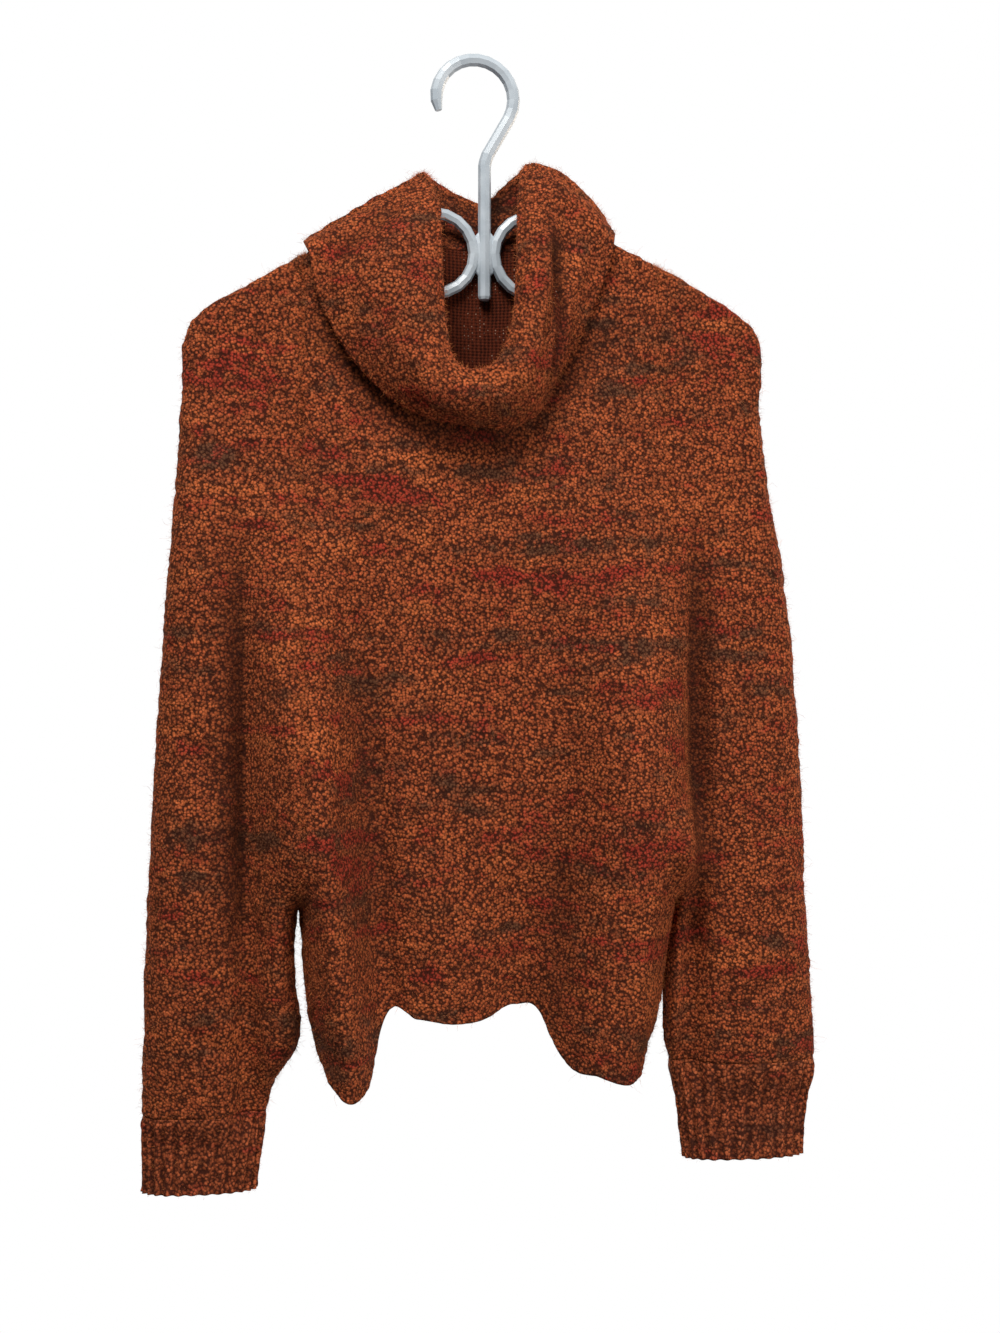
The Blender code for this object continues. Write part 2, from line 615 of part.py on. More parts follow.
def tube(name, points, radius, radii=None, cyclic=False):
    """A mesh tube along the points, closed at its ends or joined into a ring."""
    curve = bpy.data.curves.new(name, "CURVE")
    curve.dimensions = "3D"
    curve.bevel_depth = radius
    curve.bevel_resolution = TUBE_ROUNDNESS
    curve.use_fill_caps = True
    spline = curve.splines.new("POLY")
    spline.points.add(len(points) - 1)
    for place, (x, z) in zip(spline.points, points):
        place.co = (x, 0.0, z, 1.0)
    for place, scale in zip(spline.points, radii or [1.0] * len(points)):
        place.radius = scale
    spline.use_cyclic_u = cyclic
    source = bpy.data.objects.new(name, curve)
    bpy.context.scene.collection.objects.link(source)
    bpy.context.view_layer.update()
    mesh = bpy.data.meshes.new_from_object(source.evaluated_get(bpy.context.evaluated_depsgraph_get()))
    bpy.data.objects.remove(source)
    shape = bmesh.new()
    shape.from_mesh(mesh)
    bmesh.ops.remove_doubles(shape, verts=shape.verts, dist=0.000001)
    bmesh.ops.recalc_face_normals(shape, faces=shape.faces)
    shape.to_mesh(mesh)
    shape.free()
    return bpy.data.objects.new(name, mesh)


def hook_points():
    """The hook from its free end over the crown, down the slant and the stem."""
    centre_z = STEM_RADIUS - HOOK_RADIUS
    angles = np.radians(np.linspace(HOOK_END_ANGLE, HOOK_START_ANGLE, 17))
    arc = [(HOOK_RADIUS * math.cos(a), centre_z + HOOK_RADIUS * math.sin(a)) for a in angles]
    slant_end = (STEM_X + 0.0022, STEM_BEND + 0.005)
    stem_heights = (STEM_BEND - 0.003, STEM_END + 0.003, STEM_END + 0.001, STEM_END)
    stem = [(STEM_X, height) for height in stem_heights]
    return arc + [slant_end, (STEM_X + 0.0006, STEM_BEND)] + stem


def bow_points(side):
    """One bow: a half circle beside the stem, the shoulder rail out to the tip, and the lower rail back."""
    middle_x = STEM_X + side * BOW_OFFSET
    angles = np.radians(np.linspace(-90, 90, 11))
    half_circle = [
        (middle_x - side * BOW_HALF_CIRCLE * math.cos(a), BOW_CENTRE_DROP + BOW_HALF_CIRCLE * math.sin(a))
        for a in angles
    ]
    rail = smooth_curve(BOW_RAIL)
    reach = [row[0] for row in BOW_RAIL[1:]]
    top = [(STEM_X + side * distance, float(rail(distance))) for distance in reach]
    tip_angles = np.radians(np.linspace(50, -100, 6))
    tip = [
        (STEM_X + side * (TIP_REACH + TIP_RADIUS * math.cos(a)), TIP_HEIGHT + TIP_RADIUS * math.sin(a))
        for a in tip_angles
    ]
    lower = [(STEM_X + side * distance, height) for distance, height in LOWER_RAIL]
    return half_circle + top + tip + lower


def make_hanger():
    """The hanger, moulded in one: the hook and stem, and two closed bows joined to the stem by a web."""
    points = hook_points()
    radii = [0.55, 0.9] + [1.0] * (len(points) - 4) + [0.85, 0.5]
    stem = tube("hanger", points, STEM_RADIUS, radii=radii)
    web_mesh = bpy.data.meshes.new("web")
    shape = bmesh.new()
    bmesh.ops.create_uvsphere(shape, u_segments=12, v_segments=8, radius=1.0)
    bmesh.ops.scale(shape, vec=Vector(WEB_HALF_SIZE), verts=shape.verts)
    bmesh.ops.translate(shape, vec=Vector((STEM_X, 0.0, BOW_CENTRE_DROP)), verts=shape.verts)
    shape.to_mesh(web_mesh)
    shape.free()
    joined = [
        tube("bow_left", bow_points(-1), BOW_RADIUS, cyclic=True),
        tube("bow_right", bow_points(1), BOW_RADIUS, cyclic=True),
        bpy.data.objects.new("web", web_mesh),
    ]
    for piece in joined:
        cutters.objects.link(piece)
        piece.hide_render = True
        piece.display_type = "WIRE"
        union = stem.modifiers.new(piece.name, "BOOLEAN")
        union.operation = "UNION"
        union.solver = "EXACT"
        union.object = piece
    stem.data.shade_smooth()
    return stem


for thing in list(bpy.data.objects):
    bpy.data.objects.remove(thing)
collection = bpy.data.collections.new("cowl_sweater_on_hanger")
cutters = bpy.data.collections.new("joined_pieces")
bpy.context.scene.collection.children.link(collection)
bpy.context.scene.collection.children.link(cutters)

panels = {
    "front": (-1, FRONT_NECK_DROP, front_hem, FRONT_SHOULDER_COLUMNS, FRONT_NECK_STEPS),
    "back": (1, BACK_NECK_DROP, back_hem, BACK_SHOULDER_COLUMNS, BACK_NECK_STEPS),
}
pieces = [(make_panel(name, *values), YARN, CLOTH_ROUGHNESS) for name, values in panels.items()]
left_sleeve = make_sleeve("sleeve_left", left_seam, left_sleeve_inner, left_outline, LEFT_CUFF[0])
right_sleeve = make_sleeve("sleeve_right", right_seam, right_sleeve_inner, right_outline, RIGHT_CUFF[0])
left_cuff = make_cuff("cuff_left", left_sleeve_inner, left_outline, LEFT_CUFF)
right_cuff = make_cuff("cuff_right", right_sleeve_inner, right_outline, RIGHT_CUFF)
pieces += [(piece, YARN, CLOTH_ROUGHNESS) for piece in (left_sleeve, right_sleeve, make_collar())]
pieces += [(piece, CUFF_YARN, CLOTH_ROUGHNESS) for piece in (left_cuff, right_cuff)]
pieces.append((make_hanger(), PLASTIC, PLASTIC_ROUGHNESS))
for piece, colour, roughness in pieces:
    piece.data.materials.append(material(piece.name, colour, roughness))
    collection.objects.link(piece)
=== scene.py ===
"""The looks of a cowl-neck boucle sweater on its moulded hanger, in metres, +Z up, front towards -Y."""

import itertools
import math

import bpy
import numpy as np
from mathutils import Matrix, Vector


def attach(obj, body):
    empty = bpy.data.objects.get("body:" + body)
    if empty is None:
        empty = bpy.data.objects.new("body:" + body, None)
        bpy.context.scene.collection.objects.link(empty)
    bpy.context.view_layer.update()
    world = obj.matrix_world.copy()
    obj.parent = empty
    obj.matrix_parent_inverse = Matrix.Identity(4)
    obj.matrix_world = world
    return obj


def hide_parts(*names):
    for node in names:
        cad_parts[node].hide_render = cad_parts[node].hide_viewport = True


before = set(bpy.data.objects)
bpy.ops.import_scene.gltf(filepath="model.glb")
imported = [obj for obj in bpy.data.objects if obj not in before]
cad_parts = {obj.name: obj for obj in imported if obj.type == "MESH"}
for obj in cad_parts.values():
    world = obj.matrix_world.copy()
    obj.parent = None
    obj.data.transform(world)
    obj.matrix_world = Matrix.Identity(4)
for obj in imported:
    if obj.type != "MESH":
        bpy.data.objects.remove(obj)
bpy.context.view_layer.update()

# The camera stands level with the middle of the sweater, a little towards the wearer's right.
# Its distance and lens are those of a phone held about an arm's length and a half away.
VIEW_TURN = math.radians(-7.8)
VIEW_TARGET = Vector((0.0185, 0.0, -0.4402))
VIEW_DISTANCE = 1.2
VIEW_HEIGHT_AT_TARGET = 0.9798
toward = Vector((-math.sin(VIEW_TURN), math.cos(VIEW_TURN), 0.0))
camera = bpy.data.objects.new("camera", bpy.data.cameras.new("camera"))
camera.data.sensor_width = 36.0
camera.data.lens = camera.data.sensor_width * VIEW_DISTANCE / VIEW_HEIGHT_AT_TARGET
camera.location = VIEW_TARGET - VIEW_DISTANCE * toward
camera.rotation_mode = "QUATERNION"
camera.rotation_quaternion = toward.to_track_quat("-Z", "Y")
bpy.context.scene.collection.objects.link(camera)
bpy.context.scene.camera = camera

# Soft daylight from above and in front, and a white wall behind the sweater that lights the fuzz along its
# outline. The room around it is dimmer. A warm light from behind catches the outer sleeve on the right.
WALL_LIGHT = (1.0, 1.0, 1.0, 1.0)
ROOM_LIGHT = (0.15, 0.155, 0.165, 1.0)
WALL_STARTS, WALL_IS_FULL = 0.45, 0.76
LIGHTS = {
    "window": ((-0.5, -1.5, 1.5), 1.0, 58.0, (1.0, 0.98, 0.95)),
    "fill": ((1.5, -1.6, -0.5), 1.2, 20.0, (1.0, 0.95, 0.9)),
    "rim": ((1.3, 0.7, 0.1), 0.8, 10.0, (1.0, 0.86, 0.7)),
}
bpy.context.scene.view_settings.view_transform = "Standard"
world = bpy.data.worlds.new("room")
world.use_nodes = True
nodes = world.node_tree.nodes
heading = nodes.new("ShaderNodeTexCoord")
parts = nodes.new("ShaderNodeSeparateXYZ")
behind = nodes.new("ShaderNodeMapRange")
light = nodes.new("ShaderNodeMix")
behind.interpolation_type = "SMOOTHSTEP"
behind.inputs["From Min"].default_value = WALL_STARTS
behind.inputs["From Max"].default_value = WALL_IS_FULL
light.data_type = "RGBA"
light.inputs[6].default_value = ROOM_LIGHT
light.inputs[7].default_value = WALL_LIGHT
for start, end in (
    (heading.outputs["Generated"], parts.inputs[0]),
    (parts.outputs["Y"], behind.inputs["Value"]),
    (behind.outputs["Result"], light.inputs[0]),
    (light.outputs[2], nodes["Background"].inputs["Color"]),
):
    world.node_tree.links.new(start, end)
bpy.context.scene.world = world
for name, (place, size, power, colour) in LIGHTS.items():
    lamp = bpy.data.lights.new(name, "AREA")
    lamp.size = size
    lamp.energy = power
    lamp.color = colour
    lamp_object = bpy.data.objects.new(name, lamp)
    lamp_object.location = place
    lamp_object.rotation_euler = (VIEW_TARGET - Vector(place)).to_track_quat("-Z", "Y").to_euler()
    bpy.context.scene.collection.objects.link(lamp_object)

# The front panel: a machine-knitted boucle cloth, from the shoulder seams and the scooped neckline to the hem.
# It hangs in two deep folds under the armholes, and each fold ends in a tongue of the hem.
WALL = 0.003
SEAM_GAP = 0.0003
SEAM_OVERLAP = 0.0006
SEAM_TOP = -0.142
UNDERARM = -0.614
SIDE_HEM = -0.718
UNDERARM_ROUNDING = 0.028
UNDERARM_HEIGHT_SHARE = 0.6
NECK_CENTRE = 0.007
NECK_HALF_WIDTH = 0.08
NECK_POINT = -0.121
FRONT_NECK_DROP = 0.129
SLOPE_STEP = 0.00025
SPACING_HEIGHT = -0.65
CLOTH_PITCH = 0.0018
# The first rows under the shoulder seam, as shares of the way to the hem, follow its tight bend.
SEAM_ROWS = (0.0, 0.0005, 0.0014, 0.0027)

# The garment's outer edge from the neck point along the shoulder and down the sleeve: z, x.
LEFT_OUTLINE = (
    (-0.121, -0.073),
    (-0.129, -0.096),
    (-0.142, -0.1245),
    (-0.156, -0.148),
    (-0.1695, -0.171),
    (-0.182, -0.192),
    (-0.193, -0.204),
    (-0.207, -0.2095),
    (-0.23, -0.211),
    (-0.285, -0.2135),
    (-0.371, -0.221),
    (-0.486, -0.2285),
    (-0.6, -0.235),
    (-0.714, -0.238),
    (-0.815, -0.2375),
)
RIGHT_OUTLINE = (
    (-0.121, 0.087),
    (-0.129, 0.108),
    (-0.142, 0.1355),
    (-0.157, 0.163),
    (-0.1715, 0.19),
    (-0.184, 0.208),
    (-0.198, 0.215),
    (-0.215, 0.216),
    (-0.248, 0.2145),
    (-0.3, 0.2205),
    (-0.368, 0.231),
    (-0.488, 0.242),
    (-0.609, 0.2465),
    (-0.684, 0.2515),
    (-0.73, 0.253),
    (-0.775, 0.2465),
    (-0.806, 0.244),
)

# The armhole seams above the underarm, and the body's and sleeves' edges below it: z, x.
LEFT_SEAM = ((-0.142, -0.1245), (-0.25, -0.127), (-0.4, -0.128), (-0.5, -0.126), (-0.614, -0.1288))
RIGHT_SEAM = ((-0.142, 0.1355), (-0.25, 0.14), (-0.4, 0.146), (-0.5, 0.149), (-0.614, 0.1465))
LEFT_SLEEVE_INNER = (
    (-0.614, -0.1288),
    (-0.642, -0.131),
    (-0.677, -0.1295),
    (-0.699, -0.1275),
    (-0.713, -0.1305),
    (-0.727, -0.1395),
    (-0.741, -0.1475),
    (-0.757, -0.1515),
    (-0.783, -0.155),
    (-0.815, -0.16),
)
RIGHT_SLEEVE_INNER = (
    (-0.614, 0.1465),
    (-0.64, 0.143),
    (-0.665, 0.14),
    (-0.692, 0.139),
    (-0.721, 0.141),
    (-0.736, 0.145),
    (-0.751, 0.148),
    (-0.78, 0.152),
    (-0.806, 0.1555),
)
LEFT_BODY_EDGE = ((-0.614, -0.1288), (-0.65, -0.126), (-0.676, -0.1235), (-0.704, -0.118), (-0.718, -0.115))
RIGHT_BODY_EDGE = ((-0.614, 0.1465), (-0.64, 0.1424), (-0.665, 0.1392), (-0.692, 0.1345), (-0.718, 0.125))

# Half the depth of the hanging cloth, and how far its middle leans to the front: z, size.
HALF_DEPTH = (
    (-0.121, 0.008),
    (-0.2, 0.009),
    (-0.26, 0.012),
    (-0.35, 0.017),
    (-0.45, 0.02),
    (-0.6, 0.022),
    (-0.72, 0.02),
    (-0.757, 0.0165),
    (-0.815, 0.015),
)
LEAN = ((-0.121, 0.0), (-0.25, 0.0), (-0.4, -0.004), (-0.56, -0.008), (-0.815, -0.008))

# Folds that run down the cloth: the crest's x at three heights, the widths of its flanks, its depth, and the
# heights at which it starts and is full.
FOLD_HEIGHTS = (-0.3, -0.52, -0.74)
FOLD_FLANK = 2.6
FRONT_FOLDS = (
    (-0.127, -0.122, -0.099, 0.03, 0.026, 0.038, -0.27, -0.56),
    (-0.168, -0.165, -0.164, 0.01, 0.01, -0.012, -0.3, -0.52),
    (-0.09, -0.078, -0.066, 0.014, 0.014, -0.009, -0.33, -0.6),
    (0.108, 0.111, 0.093, 0.04, 0.036, 0.036, -0.29, -0.54),
    (0.16, 0.159, 0.156, 0.01, 0.01, -0.014, -0.32, -0.5),
    (0.025, 0.026, 0.027, 0.018, 0.018, -0.009, -0.54, -0.69),
    (-0.02, -0.02, -0.022, 0.03, 0.03, 0.005, -0.5, -0.68),
    (-0.19, -0.195, -0.2, 0.022, 0.022, 0.005, -0.26, -0.48),
    (0.19, 0.199, 0.205, 0.024, 0.024, 0.006, -0.26, -0.48),
)
BACK_FOLDS = (
    (-0.115, -0.115, -0.096, 0.032, 0.03, 0.026, -0.29, -0.58),
    (-0.165, -0.163, -0.164, 0.012, 0.012, -0.009, -0.3, -0.52),
    (-0.035, -0.042, -0.046, 0.024, 0.024, 0.008, -0.38, -0.66),
    (0.042, 0.045, 0.048, 0.026, 0.026, 0.009, -0.36, -0.64),
    (0.118, 0.12, 0.095, 0.034, 0.034, 0.026, -0.29, -0.58),
    (0.166, 0.164, 0.162, 0.012, 0.012, -0.009, -0.32, -0.52),
)
# Where the web of the underarm is pushed out in front: x, z, half width, half height, depth.
FRONT_SWELLS = ((0.15, -0.576, 0.014, 0.034, 0.026), (-0.145, -0.66, 0.014, 0.04, 0.01))

FRONT_HEM = (
    (-0.115, -0.718),
    (-0.108, -0.731),
    (-0.097, -0.741),
    (-0.084, -0.738),
    (-0.077, -0.727),
    (-0.072, -0.704),
    (-0.067, -0.69),
    (-0.045, -0.691),
    (-0.018, -0.695),
    (0.002, -0.693),
    (0.027, -0.684),
    (0.044, -0.69),
    (0.05, -0.705),
    (0.057, -0.719),
    (0.081, -0.729),
    (0.105, -0.735),
    (0.117, -0.73),
    (0.125, -0.718),
)

# Small creases of the hanging cloth: two ends (x, z), half width and depth.
FRONT_CREASES = (
    (-0.1, -0.205, -0.15, -0.33, 0.007, -0.0016),
    (-0.062, -0.265, -0.118, -0.42, 0.01, 0.0018),
    (0.07, -0.24, 0.128, -0.36, 0.009, 0.0018),
    (0.118, -0.205, 0.165, -0.3, 0.007, -0.0014),
    (-0.2, -0.24, -0.186, -0.42, 0.009, 0.0016),
    (-0.218, -0.47, -0.176, -0.54, 0.008, -0.0018),
    (-0.222, -0.58, -0.178, -0.64, 0.008, 0.0018),
    (-0.216, -0.69, -0.158, -0.722, 0.007, -0.0022),
    (-0.15, -0.62, -0.146, -0.705, 0.006, -0.0024),
    (0.214, -0.43, 0.18, -0.52, 0.009, -0.0018),
    (0.23, -0.56, 0.182, -0.64, 0.009, 0.002),
    (0.236, -0.66, 0.17, -0.7, 0.007, -0.0022),
    (0.158, -0.61, 0.16, -0.68, 0.006, -0.0022),
    (0.112, -0.5, 0.104, -0.64, 0.007, 0.002),
    (-0.112, -0.5, -0.106, -0.66, 0.007, 0.002),
    (-0.03, -0.56, -0.036, -0.68, 0.009, 0.0016),
    (0.06, -0.56, 0.052, -0.67, 0.008, -0.0018),
    (-0.16, -0.3, -0.16, -0.7, 0.0055, 0.002),
    (0.15, -0.3, 0.149, -0.64, 0.0055, 0.002),
)
BACK_CREASES = (
    (-0.06, -0.18, -0.13, -0.33, 0.01, 0.0018),
    (0.07, -0.18, 0.14, -0.33, 0.01, 0.0018),
    (-0.01, -0.26, -0.016, -0.42, 0.012, -0.0014),
    (-0.205, -0.47, -0.17, -0.56, 0.009, -0.0018),
    (0.215, -0.45, 0.18, -0.56, 0.009, -0.0018),
    (-0.21, -0.65, -0.16, -0.7, 0.008, -0.002),
    (0.225, -0.64, 0.17, -0.69, 0.008, -0.002),
    (0.0, -0.56, 0.004, -0.68, 0.01, 0.0018),
)
# Painted shade: where the yarn's colour is darkened, deep between folds and under the cowl's edge, on top of the
# shade that
# the lights give: two ends from top to bottom, half widths to the left and right, and strength.
FRONT_PAINTED_SHADE = (
    (-0.169, -0.3, -0.168, -0.7, 0.017, 0.003, 0.74),
    (-0.088, -0.38, -0.072, -0.7, 0.013, 0.013, 0.36),
    (0.158, -0.3, 0.156, -0.65, 0.004, 0.015, 0.72),
    (0.056, -0.54, 0.056, -0.72, 0.011, 0.011, 0.36),
    (-0.128, -0.18, -0.05, -0.272, 0.011, 0.011, 0.5),
    (-0.07, -0.262, 0.05, -0.279, 0.012, 0.012, 0.52),
    (0.03, -0.276, 0.118, -0.17, 0.011, 0.011, 0.45),
)
# Painted shade deep in the back's folds.
BACK_PAINTED_SHADE = (
    (-0.166, -0.3, -0.164, -0.64, 0.011, 0.011, 0.5),
    (0.166, -0.3, 0.163, -0.64, 0.011, 0.011, 0.5),
)
SEAM_GROOVE = 0.0011
SEAM_GROOVE_WIDTH = 0.0022
LUMP_SIZES = (0.0034, 0.0075, 0.03)
LUMP_HEIGHTS = (0.0007, 0.0006, 0.0009)


def smooth_curve(rows):
    """A function that runs smoothly through (position, value) rows and is level past its ends: cubic pieces
    whose slope at each row is the mean slope of its neighbours."""
    at, value = np.array(sorted(rows)).T
    slope = np.gradient(value, at)

    def read(position):
        here = np.clip(position, at[0], at[-1])
        piece = np.clip(np.searchsorted(at, here) - 1, 0, len(at) - 2)
        length = at[piece + 1] - at[piece]
        t = (here - at[piece]) / length
        rise = value[piece] * (1 + 2 * t) * (1 - t) ** 2 + value[piece + 1] * t**2 * (3 - 2 * t)
        return rise + length * (slope[piece] * t * (1 - t) ** 2 + slope[piece + 1] * t**2 * (t - 1))

    return read


def smooth_step(value, start, end):
    """0 up to start and 1 from end on, joined by three t squared less two t cubed."""
    t = np.clip((value - start) / (end - start), 0, 1)
    return t * t * (3 - 2 * t)


def quarter_round(distance, radius):
    """The height of a quarter circle over the distance from its upright start, as a share of its radius."""
    return np.sqrt(1 - (1 - np.clip(distance / radius, 0, 1)) ** 2)


left_outline = smooth_curve(LEFT_OUTLINE)
right_outline = smooth_curve(RIGHT_OUTLINE)
left_seam = smooth_curve(LEFT_SEAM)
right_seam = smooth_curve(RIGHT_SEAM)
left_body_edge = smooth_curve(LEFT_BODY_EDGE)
right_body_edge = smooth_curve(RIGHT_BODY_EDGE)
left_sleeve_inner = smooth_curve(LEFT_SLEEVE_INNER)
right_sleeve_inner = smooth_curve(RIGHT_SLEEVE_INNER)
half_depth = smooth_curve(HALF_DEPTH)
lean = smooth_curve(LEAN)
front_hem = smooth_curve(FRONT_HEM)


def folds(x, z, table):
    """The sum of the folds at (x, z): each is its depth times its growth down the cloth, times e to the minus
    2.6th power of the distance from its crest in flank widths."""
    total = np.zeros(np.broadcast(x, z).shape)
    for high, middle, low, left_width, right_width, depth, start, full in table:
        crest = smooth_curve(zip(FOLD_HEIGHTS, (high, middle, low)))(z)
        width = np.where(x < crest, left_width, right_width)
        growth = smooth_step(-z, -start, -full)
        total = total + depth * growth * np.exp(-np.abs((x - crest) / width) ** FOLD_FLANK)
    return total


def swells(x, z, table):
    """The sum of the soft oval mounds at (x, z): depth times e to the minus squared distance in half sizes."""
    total = np.zeros(np.broadcast(x, z).shape)
    for middle_x, middle_z, half_width, half_height, depth in table:
        total = total + depth * np.exp(-(((x - middle_x) / half_width) ** 2) - ((z - middle_z) / half_height) ** 2)
    return total


def outline_distance(x, z):
    """The distance of (x, z) from the garment's outline: the gap across, divided by the outline's slant."""
    step = 0.001
    left_slope = (left_outline(z + step) - left_outline(z - step)) / (2 * step)
    right_slope = (right_outline(z + step) - right_outline(z - step)) / (2 * step)
    from_left = (x - left_outline(z)) / np.hypot(1, left_slope)
    from_right = (right_outline(z) - x) / np.hypot(1, right_slope)
    return np.minimum(from_left, from_right)


def underarm_distance(x, z, inward, seam, edge):
    """The distance from the underarm point above it, with its height shortened, and from the edge below it."""
    above = np.hypot(x - seam(z), UNDERARM_HEIGHT_SHARE * np.maximum(z - UNDERARM, 0))
    return np.where(z >= UNDERARM, above, np.maximum(inward * (x - edge(z)), 0))


def cloth_y(x, z, face, piece):
    """The depth of the cloth's smooth outer face: the lean, plus or minus the half depth with its folds, which
    is rounded off as a quarter circle towards every closed edge. face is -1 in front and 1 behind."""
    depth = half_depth(z) + folds(x, z, FRONT_FOLDS if face < 0 else BACK_FOLDS)
    if face < 0:
        depth = depth + swells(x, z, FRONT_SWELLS)
    depth = depth * quarter_round(outline_distance(x, z), half_depth(z))
    if piece != "sleeve_right":
        edge, inward = (left_sleeve_inner, -1) if piece == "sleeve_left" else (left_body_edge, 1)
        depth = depth * quarter_round(underarm_distance(x, z, inward, left_seam, edge), UNDERARM_ROUNDING)
    if piece != "sleeve_left":
        edge, inward = (right_sleeve_inner, 1) if piece == "sleeve_right" else (right_body_edge, -1)
        depth = depth * quarter_round(underarm_distance(x, z, inward, right_seam, edge), UNDERARM_ROUNDING)
    return lean(z) + face * np.maximum(depth, SEAM_GAP / 2)


def cloth_points(x, z, face, piece):
    """Points of the smooth outer face, and the directions out of it from its slopes across and down. On a closed
    edge the direction lies in the plane of the seam."""
    slope_x = (cloth_y(x + SLOPE_STEP, z, face, piece) - cloth_y(x - SLOPE_STEP, z, face, piece)) / (2 * SLOPE_STEP)
    slope_z = (cloth_y(x, z + SLOPE_STEP, face, piece) - cloth_y(x, z - SLOPE_STEP, face, piece)) / (2 * SLOPE_STEP)
    points = np.stack([x, cloth_y(x, z, face, piece), z], axis=-1)
    closed = np.abs(points[..., 1] - lean(z)) <= SEAM_GAP
    out = face * np.stack([-slope_x, np.where(closed, 0.0, 1.0), -slope_z], axis=-1)
    return points, out / np.linalg.norm(out, axis=-1, keepdims=True)


def even_steps(x, y, count):
    """The shares of a section's width at which count points lie evenly along it."""
    length = np.concatenate([[0], np.cumsum(np.hypot(np.diff(x), np.diff(y)))])
    share = (x - x[0]) / (x[-1] - x[0])
    return np.interp(np.linspace(0, length[-1], count), length, share)


LATTICE = np.random.default_rng(11).random((32, 32, 32))


def clouds(points, size):
    """Smooth random values from -1 to 1: a lattice of random numbers, blended between its eight corners by three
    t squared less two t cubed. size is the lattice's step, one number or one for each axis."""
    at = points / np.array(size)
    cell = np.floor(at).astype(int)
    t = at - cell
    t = t * t * (3 - 2 * t)
    total = np.zeros(points.shape[:-1])
    for corner in itertools.product((0, 1), repeat=3):
        weight = np.prod(np.where(corner, t, 1 - t), axis=-1)
        i, j, k = np.moveaxis((cell + corner) % len(LATTICE), -1, 0)
        total = total + weight * LATTICE[i, j, k]
    return 2 * total - 1


def creases(x, z, table):
    """The sum of the small creases: depth times e to the minus squared distance from the crease's line in half
    widths, faded towards its two ends. A row may give two half widths, of the crease's left and right side as
    it runs down."""
    total = np.zeros(x.shape)
    for start_x, start_z, end_x, end_z, *half_widths, depth in table:
        along_x, along_z = end_x - start_x, end_z - start_z
        length = math.hypot(along_x, along_z)
        share = ((x - start_x) * along_x + (z - start_z) * along_z) / length**2
        beside = ((x - start_x) * along_z - (z - start_z) * along_x) / length
        ends = smooth_step(share, 0, 0.3) * smooth_step(-share, -1, -0.7)
        half_width = np.where(beside > 0, half_widths[0], half_widths[-1])
        total = total + depth * ends * np.exp(-((beside / half_width) ** 2))
    return total


def lumps(points):
    """The knit's uneven surface: three sizes of random clouds, each times its height."""
    return sum(height * clouds(points, size) for size, height in zip(LUMP_SIZES, LUMP_HEIGHTS))


def relief(points, table):
    """How far the cloth's surface stands off its smooth form: its lumps and creases, less the sunk seams."""
    x, z = points[..., 0], points[..., 2]
    seam = np.minimum(np.abs(x - left_seam(z)), np.abs(x - right_seam(z)))
    sunk = SEAM_GROOVE * np.exp(-((seam / SEAM_GROOVE_WIDTH) ** 2)) * (z > UNDERARM)
    return lumps(points) + creases(x, z, table) - sunk


# Where the space-dyed yarn came out red, brown or bright orange: the kind, x, z, half width, half height and
# strength of each patch.
DYE_PATCHES = (
    ("brown", -0.02, -0.296, 0.11, 0.01, 0.9),
    ("brown", 0.09, -0.305, 0.05, 0.008, 0.7),
    ("brown", 0.065, -0.35, 0.07, 0.007, 1.0),
    ("brown", -0.055, -0.455, 0.03, 0.016, 0.8),
    ("brown", 0.1, -0.425, 0.06, 0.007, 0.6),
    ("brown", 0.205, -0.64, 0.05, 0.008, 0.7),
    ("brown", 0.205, -0.712, 0.06, 0.005, 1.3),
    ("brown", -0.195, -0.285, 0.024, 0.016, 1.0),
    ("brown", 0.118, -0.228, 0.06, 0.022, 0.6),
    ("brown", 0.03, -0.262, 0.12, 0.01, 0.5),
    ("brown", -0.09, -0.69, 0.03, 0.02, 0.5),
    ("brown", -0.2, -0.56, 0.04, 0.03, 0.4),
    ("red", -0.175, -0.225, 0.03, 0.045, 0.9),
    ("red", 0.18, -0.2, 0.035, 0.022, 1.0),
    ("red", 0.06, -0.378, 0.1, 0.014, 0.8),
    ("red", 0.095, -0.413, 0.04, 0.005, 1.0),
    ("red", -0.11, -0.5, 0.016, 0.022, 1.0),
    ("red", -0.105, -0.575, 0.024, 0.018, 0.9),
    ("red", 0.11, -0.575, 0.05, 0.018, 0.8),
    ("red", 0.12, -0.64, 0.03, 0.012, 0.9),
    ("red", -0.06, -0.485, 0.05, 0.012, 0.4),
    ("orange", -0.112, -0.505, 0.018, 0.022, 1.2),
    ("orange", -0.14, -0.44, 0.03, 0.06, 0.5),
    ("orange", -0.15, -0.35, 0.06, 0.03, 0.4),
    ("orange", 0.13, -0.66, 0.04, 0.024, 0.7),
    ("orange", 0.16, -0.33, 0.05, 0.04, 0.5),
    ("orange", -0.165, -0.745, 0.02, 0.02, 0.9),
    ("orange", 0.205, -0.735, 0.05, 0.012, 0.7),
)


